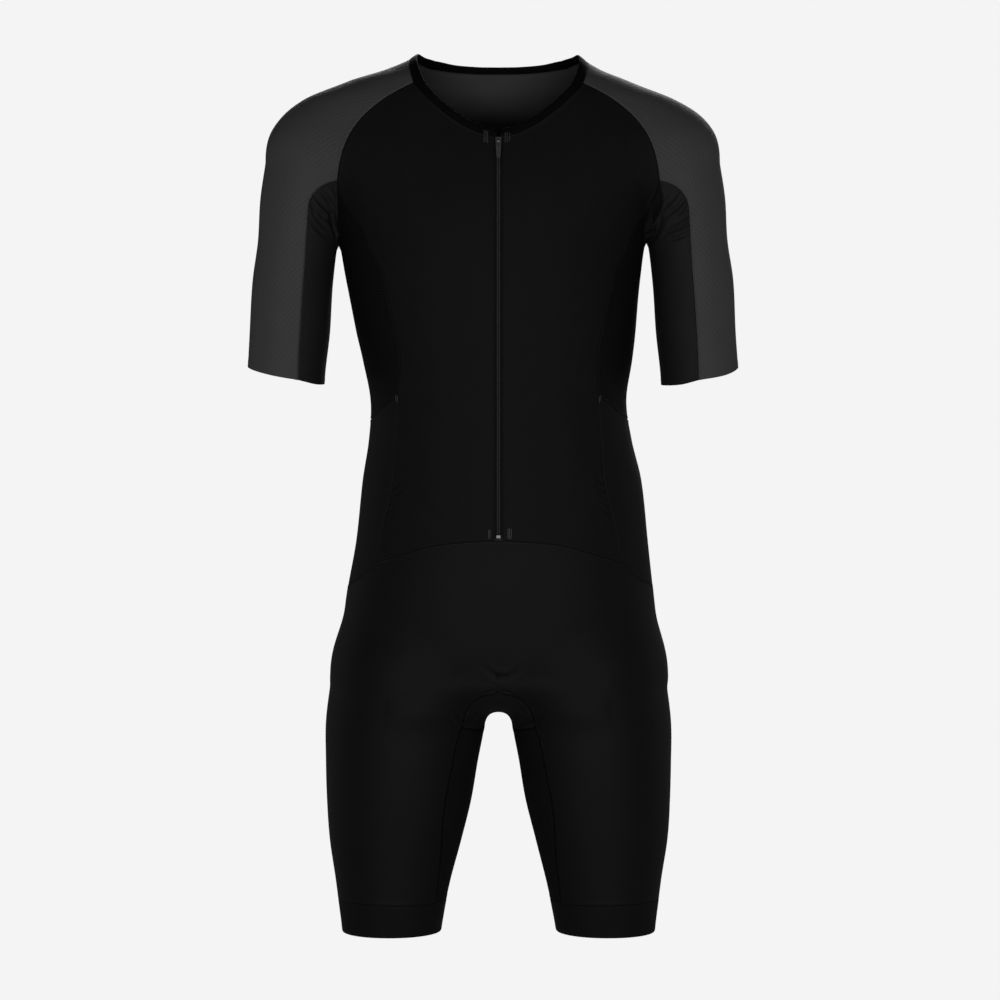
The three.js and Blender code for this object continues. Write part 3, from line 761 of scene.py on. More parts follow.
def piece(name: str, points: Points, faces: Points, finish: Finish,
          cloth: Points | None = None) -> bpy.types.Object:
    """Makes a mesh piece that rides on the suit.

    Args:
        name: the piece's name.
        points: its points in millimetres.
        faces: its quads or triangles, as rows of point numbers.
        finish: its finish.
        cloth: each point's place on the flat cloth, in millimetres.

    Returns:
        The new object.
    """
    mesh = bpy.data.meshes.new(name)
    sides = faces.shape[1]
    mesh.vertices.add(len(points))
    mesh.vertices.foreach_set("co", (points * MM).astype(np.float32).ravel())
    mesh.loops.add(faces.size)
    mesh.loops.foreach_set("vertex_index", faces.astype(np.int32).ravel())
    mesh.polygons.add(len(faces))
    mesh.polygons.foreach_set("loop_start", np.arange(0, faces.size, sides, dtype=np.int32))
    mesh.update(calc_edges=True)
    mesh.validate()
    if cloth is not None:
        flat = np.zeros((len(points), 3), np.float32)
        flat[:, :2] = cloth
        mesh.attributes.new("cloth", "FLOAT_VECTOR", "POINT").data.foreach_set("vector", flat.ravel())
    mesh.polygons.foreach_set("use_smooth", np.ones(len(faces), bool))
    mesh.set_sharp_from_angle(angle=SHARP_ANGLE)
    mesh.materials.append(MATERIALS[finish])
    made = linked(name, mesh)
    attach(made, SUIT)
    LOG.info("%s: %d points", name, len(points))
    return made


# Creases


def bell(distance: Points | float, width: float) -> Points:
    """A soft bump of height 1 at distance 0."""
    return np.exp(-((distance / width) ** 2))


# Each row is a crease: its two ends, how far its middle bows, its width and depth, in millimetres, and its face.
CREASES = """
x0 z0 x1 z1 bow width depth face
-208 -164 -184 -188 2 2.2 -2.8 F
-206 -172 -187 -196 2 2.2 -2.4 F
-203 -157 -182 -179 1 2.2 -2.2 F
-197 -150 -180 -171 1 2.0 -1.8 F
-189 -147 -179 -162 -1 1.8 -1.3 F
-207 -183 -189 -203 2 2.4 -1.8 F
-210 -160 -196 -150 2 1.8 -1.0 F
-152 -196 -168 -175 -2 2.2 -1.4 F
-185 -174 -173 -206 3 4.0 -3.4 F
213 -166 187 -188 -2 2.2 -2.7 F
212 -176 184 -193 -2 2.2 -2.9 F
212 -187 181 -199 -1 2.2 -2.4 F
208 -157 184 -180 -2 2.2 -2.2 F
199 -150 181 -171 -2 2.0 -1.7 F
212 -198 185 -207 -1 2.4 -1.5 F
152 -198 168 -177 2 2.2 -1.3 F
179 -178 167 -210 -3 4.0 -1.8 F
-124 -722 -30 -725 0 18 3.0 F
30 -725 124 -722 0 18 3.0 F
-121 -486 -107 -472 0 1.9 -1.5 F
-122 -494 -106 -480 0 1.9 -1.9 F
-124 -502 -108 -488 0 1.9 -1.9 F
-125 -510 -110 -496 0 1.9 -1.6 F
-127 -519 -112 -506 0 1.9 -1.4 F
-130 -540 -119 -550 1 1.9 -1.2 F
120 -480 106 -466 0 1.9 -1.4 F
122 -488 106 -474 0 1.9 -1.8 F
124 -496 108 -482 0 1.9 -1.7 F
126 -504 111 -490 0 1.9 -1.4 F
128 -513 113 -500 0 1.9 -1.2 F
-17 -672 26 -674 13 2.6 -2.4 F
-37 -733 -24 -712 -1.5 1.9 -1.8 F
37 -733 24 -712 1.5 1.9 -1.8 F
-24 -712 24 -712 -11 1.9 -1.8 F
-38 -739 -24 -737 0 3.0 -2.4 F
38 -739 24 -737 0 3.0 -2.4 F
-48 -724 -35 -741 2 1.9 -1.5 F
-54 -735 -38 -750 2 1.9 -1.3 F
-57 -746 -42 -758 2 1.9 -1.0 F
52 -722 37 -740 -2 1.9 -1.5 F
58 -733 39 -749 -2 1.9 -1.3 F
61 -745 43 -757 -2 1.9 -1.0 F
-205 -168 -182 -192 2 2.4 -1.7 B
-198 -156 -178 -182 2 2.2 -1.4 B
206 -166 183 -190 -2 2.4 -1.8 B
199 -154 180 -180 -2 2.2 -1.3 B
-60 -612 -150 -628 -8 5 -1.3 B
66 -606 148 -624 8 5 -1.2 B
-20 -520 -110 -508 6 6 -1.1 B
24 -512 112 -498 -6 6 -1.1 B
-30 -546 -118 -536 5 5 -0.9 B
34 -550 114 -540 -5 5 -0.8 B
-16 -715 -58 -744 5 3.4 -1.4 B
18 -712 60 -742 -5 3.4 -1.3 B
-40 -400 -108 -384 4 6 -0.9 B
36 -394 104 -380 -4 6 -0.9 B
"""
CREASE_POINTS = 25


@dataclass(frozen=True)
class Crease:
    """A soft trough, or a ridge where its depth is above 0, along a bowed line on the form.

    A lower lip runs along each side, and the crease fades towards its ends.
    """

    line: Points
    width: float
    depth: float
    lip, lip_at = 0.45, 1.7
    fade, reach = 0.6, 4

    def lift(self, p: Points) -> Points:
        """How far the crease lifts points off the form.

        Args:
            p: points on the form.

        Returns:
            A distance for each point, below 0 in the trough.
        """
        margin = self.reach * self.width
        low, high = self.line.min(0) - margin, self.line.max(0) + margin
        near = ((p > low) & (p < high)).all(-1)
        out = np.zeros(p.shape[:-1])
        if not near.any():
            return out
        q = p[near]
        gaps = np.linalg.norm(q[:, None] - self.line[None], axis=2)
        closest = gaps.argmin(1)
        share = closest / (len(self.line) - 1)
        taper = np.sin(np.pi * np.clip(share, 0, 1)) ** self.fade
        d = gaps.min(1) / self.width
        out[near] = self.depth * taper * (bell(d, 1) - self.lip * bell(d - self.lip_at, 1))
        return out


def creases() -> list[Crease]:
    """Reads the creases' table.

    Returns:
        The creases on the form.
    """
    made = []
    t = np.linspace(0, 1, CREASE_POINTS)
    for row in CREASES.split("\n")[2:-1]:
        *numbers, face = row.split()
        x0, z0, x1, z1, bow, width, depth = map(float, numbers)
        side = np.array([z1 - z0, x0 - x1]) / math.hypot(x1 - x0, z1 - z0)
        line = np.outer(1 - t, (x0, z0)) + np.outer(t, (x1, z1)) + np.outer(4 * t * (1 - t) * bow, side)
        made.append(Crease(FORM.facing(line[:, 0], line[:, 1], F if face == "F" else B), width, depth))
    return made


FOLDS = creases()
# The soft ridge of a seam's allowance, the seam's groove and the wide hollow round it: how high each is, how far from
# the seam and how wide, in millimetres.
SEAM_LIFTS = ((0.34, 2.6, 1.3), (-0.55, 0, 0.8), (-0.12, 0, 6))
# The cloth's slow unevenness: its height in millimetres, the share of its third wave, and each wave's rates across,
# back and up, in radians a metre, and its start.
UNEVEN, THIRD = 0.22, 0.6
WAVES = ((31, 4, 17, 0), (-11, 0, 23, 1.3), (19, 37, 61, 0))


def seam_lift(near: Points | float) -> Points:
    """How far the cloth lifts off the form by its distance from a seam."""
    return sum(height * bell(near - place, width) for height, place, width in SEAM_LIFTS)


def relief(p: Points) -> Points:
    """How far the cloth's slow unevenness and its creases lift points off the form."""
    return swell(p) + sum(fold.lift(p) for fold in FOLDS)


def swell(p: Points) -> Points:
    """The slow unevenness of stretched cloth, a fraction of a millimetre for each point."""
    first, second, third = (np.sin(p @ np.array(rates) * MM + start) for *rates, start in WAVES)
    return UNEVEN * (first * second + THIRD * third)


# Panels

# The distances of the grids' points, and of the closer ones beside a seam, in millimetres.
COARSE = 5.0
FINE = 2.8
LEAD = (0.45, 1.0, 1.8, 2.8)
# The cloth's thickness, and how far its rim is drawn in from the seam.
SHELL = 1.1
SEAM_IN = 0.04
# Farther from a seam than its groove and ridge reach.
FAR = 50.0
# The depth and width of the groove under a row of topstitching.
ROW_DEPTH, ROW_WIDTH = 0.2, 0.6
# The same for a hem's row, and how far it runs inside the hem's edge. The edge steps down as softly.
HEM_DEPTH, HEM_WIDTH, ROW_INSIDE = 0.22, 0.7, 1.2


def shares(steps: int, length: float, spacing: float) -> Points:
    """Even shares of an edge, about as far apart as the spacing, with each of the pattern's steps among them."""
    return np.linspace(0, 1, steps * max(round(length / steps / spacing), 1) + 1)


def closer(even: Points, length: float, first: bool = True, last: bool = True) -> Points:
    """Shares of an edge with more of them by the ends that are seams."""
    near = np.array(LEAD) / length
    return np.unique(np.round(np.concatenate([even, *[near] * first, *[1 - near] * last]), 6))


def coons(one: Points, other: Points, top: Points, foot: Points, u: Points, v: Points) -> Points:
    """A grid between four edges, settled on the form.

    Args:
        one: the first side, by the shares v.
        other: the other side, by the shares v.
        top: the top edge, by the shares u.
        foot: the foot edge, by the shares u.
        u: shares across.
        v: shares down.

    Returns:
        The grid's points, by row.
    """
    across, down = u[None, :, None], v[:, None, None]
    grid = (1 - down) * top[None] + down * foot[None] + (1 - across) * one[:, None] + across * other[:, None]
    grid -= (1 - across) * (1 - down) * top[0] + across * (1 - down) * top[-1]
    grid -= (1 - across) * down * foot[0] + across * down * foot[-1]
    grid[1:-1, 1:-1] = FORM.settle(grid[1:-1, 1:-1], 9)
    grid[0], grid[-1], grid[:, 0], grid[:, -1] = top, foot, one, other
    return grid


def along(grid: Points, axis: int) -> Points:
    """Lengths along a grid's rows or columns from their start.

    Args:
        grid: the grid's points.
        axis: 1 for along the rows, 0 for down the columns.

    Returns:
        A length for each point.
    """
    steps = np.linalg.norm(np.diff(grid, axis=axis), axis=2)
    start = np.zeros_like(steps.take([0], axis=axis))
    return np.concatenate([start, np.cumsum(steps, axis=axis)], axis=axis)


@dataclass(frozen=True)
class Hem:
    """A turned hem along a panel's foot: its depth and how much thicker it is."""

    depth: float = 0.0
    rise: float = 0.0


@dataclass(frozen=True)
class Patch:
    """Four edges: one side, the other side, the top and the foot."""

    one: Seam
    other: Seam
    top: Seam
    foot: Seam

    def height(self) -> float:
        """The sides' mean length."""
        return (self.one.length + self.other.length) / 2

    def down(self, spacing: float) -> Points:
        """Shares of the sides for the grid's rows."""
        return shares(self.one.steps, self.height(), spacing)

    def grid(self, fine: float, rows: Points, first: bool = True, last: bool = True) -> Points:
        """The fine grid between the edges: a coarse one is settled on the form and smoothly divided.

        Args:
            fine: the columns' distance in millimetres.
            rows: shares of the sides for the rows.
            first: whether the first side is a seam.
            last: whether the other side is a seam.

        Returns:
            Points on the form and unit vectors off it, together as six numbers a point, by row.
        """
        width = (self.top.length + self.foot.length) / 2
        u, v = shares(self.top.steps, width, COARSE), self.down(COARSE)
        coarse = coons(self.one.at(v), self.other.at(v), self.top.at(u), self.foot.at(u), u, v)
        both = np.concatenate([coarse, FORM.normal(coarse)], axis=2)
        columns = closer(shares(self.top.steps, width, fine), width, first, last)
        return smooth(u, smooth(v, both, rows).swapaxes(0, 1), columns).swapaxes(0, 1)


@dataclass(frozen=True)
class Panel:
    """One cut piece of cloth on the filled form."""

    name: str
    finish: Cloth
    patches: tuple[Patch, ...]
    hangs_from: tuple[str, ...] = ()
    hem: Hem = Hem()
    topstitch: float = 0.0
    fine: float = FINE
    inside: Cloth | None = None
    plain: float = 0.0

    def rows(self) -> Points:
        """Shares of the sides for the panel's rows."""
        return closer(self.patches[0].down(self.fine), self.patches[0].height())

    def grid(self) -> Points:
        """The panel's fine grid, of one patch or two side by side.

        Returns:
            Points on the form and unit vectors off it, together as six numbers a point, by row.
        """
        first, last = self.patches[0], self.patches[-1]
        v = self.rows()
        if first is last:
            return first.grid(self.fine, v)
        halves = first.grid(self.fine, v, last=False), last.grid(self.fine, v, first=False)[:, 1:]
        return np.concatenate(halves, axis=1)

    def build(self) -> None:
        """Builds the panel as a thin shell, with its seams drawn in, its creases and its hem."""
        both = self.grid()
        grid, normal = both[..., :3], unit(both[..., 3:])
        across, down = along(grid, 1), along(grid, 0)
        edges = [across, across[:, -1:] - across, down, down[-1:] - down]
        edges[0] = across + FAR * (self.rows() < self.plain)[:, None]
        seam_edges = edges[:3] if self.hem.depth else edges
        lift = relief(grid) + seam_lift(np.minimum.reduce(seam_edges))
        if self.hem.depth:
            above = edges[3] - self.hem.depth
            lift += self.hem.rise * (1 - np.tanh(above / HEM_WIDTH)) / 2
            lift -= HEM_DEPTH * bell(above + ROW_INSIDE, HEM_WIDTH)
        if self.topstitch:
            lift -= ROW_DEPTH * bell(across - self.topstitch, ROW_WIDTH)
        grid = self.drawn_in(grid)
        outer = grid + normal * lift[..., None]
        inner = grid + normal * (lift - SHELL)[..., None]
        u = across - across[:, :1]
        rows = np.linspace(0, 1, grid.shape[1])[None]
        v = down[:, :1] * (1 - rows) + down[:, -1:] * rows
        made = shell(f"{self.name}_cloth", outer, inner, self.finish, np.stack([u, v], -1))
        if self.inside:
            made.data.materials.append(MATERIALS[self.inside])
            count = (grid.shape[0] - 1) * (grid.shape[1] - 1)
            index = np.zeros(len(made.data.polygons), np.int32)
            index[count : 2 * count] = 1
            made.data.polygons.foreach_set("material_index", index)
        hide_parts(self.name)
        area = float(panel_area(grid)) * MM * MM
        [f"{name}_cloth" for name in self.hangs_from]

    @staticmethod
    def drawn_in(grid: Points) -> Points:
        """Draws the grid's rim in a little, so that neighbours don't touch.

        Args:
            grid: the grid's points.

        Returns:
            The changed grid.
        """
        out = grid.copy()
        for edge, inside in ((np.s_[0], np.s_[1]), (np.s_[-1], np.s_[-2])):
            for pick in (lambda k: (k,), lambda k: (slice(None), k)):
                toward = grid[pick(inside)] - grid[pick(edge)]
                out[pick(edge)] += unit(toward) * SEAM_IN
        return out


def panel_area(grid: Points) -> float:
    """The area of a grid of points.

    Args:
        grid: the grid's points.

    Returns:
        Square millimetres.
    """
    a = grid[1:, 1:] - grid[:-1, :-1]
    b = grid[1:, :-1] - grid[:-1, 1:]
    return np.linalg.norm(np.cross(a, b), axis=-1).sum() / 2


def skins(rows: int, width: int, ring: bool = False) -> Points:
    """The quads of two matching grids and the rims that join them.

    Args:
        rows: each grid's rows.
        width: its points in a row.
        ring: True where each row closes on itself.

    Returns:
        Rows of four point numbers, where the second grid's points follow the first's.
    """
    number = np.arange(rows * width).reshape(rows, width)
    if ring:
        number = np.concatenate([number, number[:, :1]], axis=1)
    skin = rows * width
    a, b, c, d = number[:-1, :-1], number[1:, :-1], number[1:, 1:], number[:-1, 1:]
    quads = [np.stack([a, b, c, d], -1).reshape(-1, 4), np.stack([a, d, c, b], -1).reshape(-1, 4) + skin]
    rims = [number[0], number[-1, ::-1]]
    if not ring:
        rims += [number[::-1, 0], number[:, -1]]
    for rim in rims:
        quads.append(np.stack([rim[:-1], rim[1:], rim[1:] + skin, rim[:-1] + skin], -1))
    return np.concatenate(quads)


def shell(name: str, outer: Points, inner: Points, finish: Cloth, cloth: Points,
          ring: bool = False) -> bpy.types.Object:
    """A closed shell between two matching grids.

    Args:
        name: the piece's name.
        outer: the outside's grid.
        inner: the inside's grid.
        finish: the cloth's finish.
        cloth: each grid point's place on the flat cloth.
        ring: True where each row closes on itself.

    Returns:
        The new object.
    """
    faces = skins(*outer.shape[:2], ring)
    out = np.cross(outer[1, 0] - outer[0, 0], outer[0, 1] - outer[0, 0])
    if np.dot(out, outer[0, 0] - inner[0, 0]) < 0:
        faces = faces[:, ::-1]
    points = np.concatenate([outer.reshape(-1, 3), inner.reshape(-1, 3)])
    flat = np.concatenate([cloth.reshape(-1, 2)] * 2)
    return piece(name, points, faces, finish, flat)


# Stitches

@dataclass(frozen=True)
class Stitch:
    """One thread's stitch: its length, gap and thickness in millimetres, and how proud it stands."""

    length: float = 2.3
    gap: float = 0.6
    radius: float = 0.16
    proud: float = 0.12


def spindles(centres: Points, along_: Points, normals: Points, length: float, radius: float,
             sides: int = 4) -> tuple[Points, Points]:
    """Many small spindles, each along a direction.

    Args:
        centres: their middles.
        along_: unit directions.
        normals: unit vectors off the cloth.
        length: how long each is.
        radius: how thick they are.
        sides: how many sides each has.

    Returns:
        Points and quads. Each end closes on a small square.
    """
    across = unit(np.cross(along_, normals))
    up = np.cross(across, along_)
    # Each ring's place along the spindle, its size and how far it rises.
    stations = ((-0.5, 0.4, -0.7), (0.0, 1.0, 0.25), (0.5, 0.4, -0.7))
    rings = []
    for place, size, rise in stations:
        for k in range(sides):
            angle = 2 * math.pi * (k + 0.5) / sides
            rings.append(
                centres + along_ * length * place + up * radius * (rise + size * math.sin(angle))
                + across * radius * size * math.cos(angle)
            )
    points = np.stack(rings, 1)
    template = []
    for ring in range(len(stations) - 1):
        for k in range(sides):
            nxt = (k + 1) % sides
            template.append((ring * sides + k, (ring + 1) * sides + k, (ring + 1) * sides + nxt, ring * sides + nxt))
    end = (len(stations) - 1) * sides
    caps = [(0, 1, 2, 3)] if sides == 4 else [(0, 1, 2, 3), (0, 3, 4, 7), (4, 5, 6, 7)]
    template += caps + [tuple(end + k for k in reversed(cap)) for cap in caps]
    size = points.shape[1]
    faces = np.array(template)[None] + (np.arange(len(centres)) * size)[:, None, None]
    return points.reshape(-1, 3), faces.reshape(-1, 4)


def stitched_row(line: Seam, offset: float, stitch: Stitch, slant: float = 0.0) -> tuple[Points, Points]:
    """A row of stitches beside a seam.

    Args:
        line: the seam that the row follows.
        offset: how far beside it, in millimetres.
        stitch: the stitch.
        slant: how far each stitch leans across the row, in millimetres.

    Returns:
        Points and quads.
    """
    count = max(int(line.length / (stitch.length + stitch.gap)), 2)
    place = (np.arange(count) + 0.5) / count
    points = line.at(place)
    ahead = line.at(np.clip(place + 0.25 / count, 0, 1)) - line.at(np.clip(place - 0.25 / count, 0, 1))
    normals = FORM.normal(points)
    tangent = unit(ahead)
    across = np.cross(tangent, normals)
    centre = FORM.settle(points + across * offset, 3)
    lift = relief(centre) + seam_lift(abs(offset))
    centre += normals * (lift + stitch.proud)[:, None]
    direction = unit(tangent * stitch.length + across * slant)
    return spindles(centre, direction, normals, stitch.length, stitch.radius)


def joined(parts: list[tuple[Points, Points]]) -> tuple[Points, Points]:
    """Puts meshes together as one.

    Args:
        parts: points and quads of each.

    Returns:
        Points and quads.
    """
    starts = np.cumsum([0, *(len(points) for points, _ in parts)])[:-1]
    faces = [faces + start for (_, faces), start in zip(parts, starts)]
    return np.concatenate([points for points, _ in parts]), np.concatenate(faces)


# A seam allowance: half its width and the distance of its points along the seam, in millimetres.
TAPE_HALF, TAPE_STEP = 2.6, 6
# How far behind the cloth its two faces lie, and how much deeper its middle hangs.
TAPE_FACES, TAPE_MIDDLE = (0.25, 0.75), 0.25


def seam_tape(line: Seam) -> tuple[Points, Points]:
    """The overlocked allowance behind a seam, as a thin strip inside the suit.

    Args:
        line: the seam.

    Returns:
        Points and quads.
    """
    points = line.at(np.linspace(0, 1, max(int(line.length / TAPE_STEP), 3)))
    normals = FORM.normal(points)
    across = np.cross(unit(np.gradient(points, axis=0)), normals)
    rows = [FORM.settle(points + across * k, 3) for k in (-TAPE_HALF, 0, TAPE_HALF)]
    hangs = (0, TAPE_MIDDLE, 0)
    layers = [row - normals * (SHELL + face + hang) for face in TAPE_FACES for row, hang in zip(rows, hangs)]
    return np.concatenate(layers), skins(len(rows), len(points))


@dataclass
class Upper:
    """The fronts, sleeves, side panels, yoke and back."""

    cuff: Hem = Hem(9, 0.25)
    topstitch: float = 2.6

    def panels(self, side: Side) -> list[Panel]:
        """The cut pieces of one side.

        Args:
            side: the wearer's side.

        Returns:
            Their panels.
        """
        s, w = SEWN[side], side.word
        front = Patch(s["zip_edge"], run(s["raglan_front"], s["side_front"], s["hip_front"]), s["neck_front"],
                      s["waist_zip"])
        over = (
            Patch(run(s["raglan_front"], s["split_front"]), s["ridge"], s["neck_sleeve"].part(0, 0.5),
                  s["cuff_outer"].part(0, 0.5)),
            Patch(s["ridge"], run(s["raglan_back"], s["split_back"]), s["neck_sleeve"].part(0.5, 1),
                  s["cuff_outer"].part(0.5, 1)),
        )
        under = Patch(s["split_front"], s["split_back"], s["armhole"], s["cuff_inner"])
        flank = Patch(s["side_front"], s["side_back"], s["armhole"], s["pocket_edge"])
        hip = Patch(s["hip_front"], s["hip_back"], s["pocket_edge"], run(s["waist_side_front"], s["waist_side_back"]))
        return [
            Panel(f"front_{w}", JERSEY, (front,), (f"sleeve_{w}",), topstitch=self.topstitch, fine=2.25),
            Panel(f"sleeve_{w}", SLEEVE, over, (), self.cuff, fine=3.0),
            Panel(f"under_sleeve_{w}", UNDER, (under,), (f"sleeve_{w}",), self.cuff, fine=1.8),
            Panel(f"side_panel_{w}", MESH, (flank,), (f"under_sleeve_{w}",), fine=2.6),
            Panel(f"hip_panel_{w}", JERSEY, (hip,), (f"side_panel_{w}",), fine=2.3),
        ]

    def middle(self) -> list[Panel]:
        """The yoke and the back, which run across both sides.

        Returns:
            Their panels.
        """
        left, right = SEWN[Side.LEFT], SEWN[Side.RIGHT]
        neck, foot, waist = (right_to_left(name) for name in ("neck_back", "yoke_foot", "waist_back"))
        yoke = Patch(right["raglan_back"], left["raglan_back"], neck, foot)
        back = Patch(*(run(s["side_back"], s["hip_back"]) for s in (right, left)), foot, waist)
        return [
            Panel("back_yoke", SLEEVE, (yoke,), ("sleeve_left", "sleeve_right"), inside=REVERSE),
            Panel("back", JERSEY, (back,), ("back_yoke",), fine=3.6),
        ]

    def build(self) -> None:
        """Builds the upper body's pieces."""
        for panel in (*self.panels(Side.LEFT), *self.panels(Side.RIGHT), *self.middle()):
            panel.build()


@dataclass
class Shorts:
    """The shorts' fronts, backs, inner legs, gusset and leg bands."""

    band_height: float = 38.0
    band_wall: float = 1.5
    band_rows: int = 14
    band_step: int = 5
    band_lifts: tuple[float, float, float] = (0.35, 0.25, 0.5)
    band_lip: float = 0.4
    girth_row: int = 8

    def panels(self, side: Side) -> list[Panel]:
        """The cut pieces of one side.

        Args:
            side: the wearer's side.

        Returns:
            Their panels.
        """
        s, w = SEWN[side], side.word
        front = Patch(run(s["centre_front"], s["pad_front"], s["inner_front"]), s["leg_side"],
                      run(s["waist_front"], s["waist_side_front"]), s["band_front"])
        back = Patch(run(s["centre_back"], s["pad_back"], s["inner_back"]), s["leg_side"],
                     run(s["waist_back"], s["waist_side_back"].turned()), s["band_back"])
        inner = Patch(s["inner_front"], s["inner_back"], s["pad_side"], s["band_inner"])
        plain = s["centre_front"].steps / front.one.steps
        return [
            Panel(f"shorts_front_{w}", SHORTS, (front,), (f"front_{w}", f"hip_panel_{w}"), plain=plain),
            Panel(f"shorts_back_{w}", SHORTS, (back,), ("back", f"hip_panel_{w}"), fine=3.2),
            Panel(f"inner_leg_{w}", MATT, (inner,), ("gusset",)),
        ]

    def gusset(self) -> Panel:
        """The seat gusset between the legs.

        Returns:
            Its panel.
        """
        sides = SEWN[Side.RIGHT]["pad_side"], SEWN[Side.LEFT]["pad_side"]
        patch = Patch(*sides, right_to_left("pad_front"), right_to_left("pad_back"))
        return Panel("gusset", PAD, (patch,), ("shorts_front_left", "shorts_front_right"), fine=1.8)

    def band(self, side: Side) -> None:
        """Builds a leg band: a ring from the shorts' foot to the hem, with a rounded hem edge.

        Args:
            side: the wearer's side.
        """
        s, w = SEWN[side], side.word
        loop = run(s["band_front"], s["band_back"].turned(), s["band_inner"].turned())
        top = loop.at(np.linspace(0, 1, loop.steps * self.band_step, endpoint=False))
        down = np.unique(np.concatenate([[0, 0.5, 1.2, 2.2], np.linspace(0, self.band_height, self.band_rows),
                                         self.band_height - np.array([0.4, 1.2, 2.4])]))
        rows = []
        for drop in down:
            height = top[:, 2] + (HEM_Z - top[:, 2]) * (drop / self.band_height)
            rows.append(FORM.settle(np.stack([top[:, 0], top[:, 1], height], -1)))
        grid = np.stack(rows)
        normal = FORM.normal(grid)
        stand, groove, turn = self.band_lifts
        rise = stand * (1 - bell(down, 1.0)) - groove * bell(down, 0.8) - turn * bell(self.band_height - down, 0.7)
        lift = swell(grid) + rise[:, None]
        outer = grid + normal * lift[..., None]
        inner = grid + normal * (lift - self.band_wall - self.band_lip * (rise[:, None] < 0))[..., None]
        u, v = along(grid, 1), along(grid, 0)
        made = shell(f"leg_band_{w}_cloth", outer, inner, ELASTIC, np.stack([u, v], -1), ring=True)
        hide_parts(f"leg_band_{w}")

    def build(self) -> None:
        """Builds the shorts' pieces."""
        for side in Side:
            for panel in self.panels(side):
                panel.build()
            self.band(side)
        self.gusset().build()


@dataclass
class NeckBand:
    """The folded binding round the neck, open at the zip.

    Its section is given as shares of the way from the seam to the free edge and heights off the form in millimetres.
    """

    outside: tuple[tuple[float, float], ...] = ((0.0, -0.3), (0.03, 0.2), (0.12, 0.6), (0.35, 0.85), (0.65, 0.9),
                                                (0.88, 0.75), (0.97, 0.35), (1.0, -0.2))
    inside: tuple[tuple[float, float], ...] = ((0.0, -1.3), (0.04, -1.5), (0.14, -1.6), (0.35, -1.6), (0.65, -1.6),
                                               (0.88, -1.5), (0.97, -1.1), (1.0, -0.5))
    width: float = 12.0
    step: int = 4

    def build(self) -> None:
        """Lofts the binding's rounded section round the neck."""
        left, right = SEWN[Side.LEFT], SEWN[Side.RIGHT]

        def round_neck(edge: str) -> Seam:
            """An edge from the right side of the zip round the back to the left side."""
            front, sleeve, back = (f"{edge}_{place}" for place in ("front", "sleeve", "back"))
            return run(right[front], right[sleeve], right[back].turned(), left[back], left[sleeve].turned(),
                       left[front].turned())

        edges = round_neck("neck"), round_neck("edge")
        share = np.linspace(0, 1, self.step * edges[0].steps + 1)
        seam_edge, free_edge = (edge.at(share) for edge in edges)
        layers = []
        for profile in (self.outside, self.inside):
            rows = []
            for place, height in profile:
                on_form = FORM.settle(seam_edge + (free_edge - seam_edge) * place)
                rows.append(on_form + FORM.normal(on_form) * height)
            layers.append(np.stack(rows))
        flat = np.stack([along(layers[0], 1), along(layers[0], 0)], -1)
        made = shell("neck_band_cloth", *layers, BINDING, flat)
        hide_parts("neck_band")


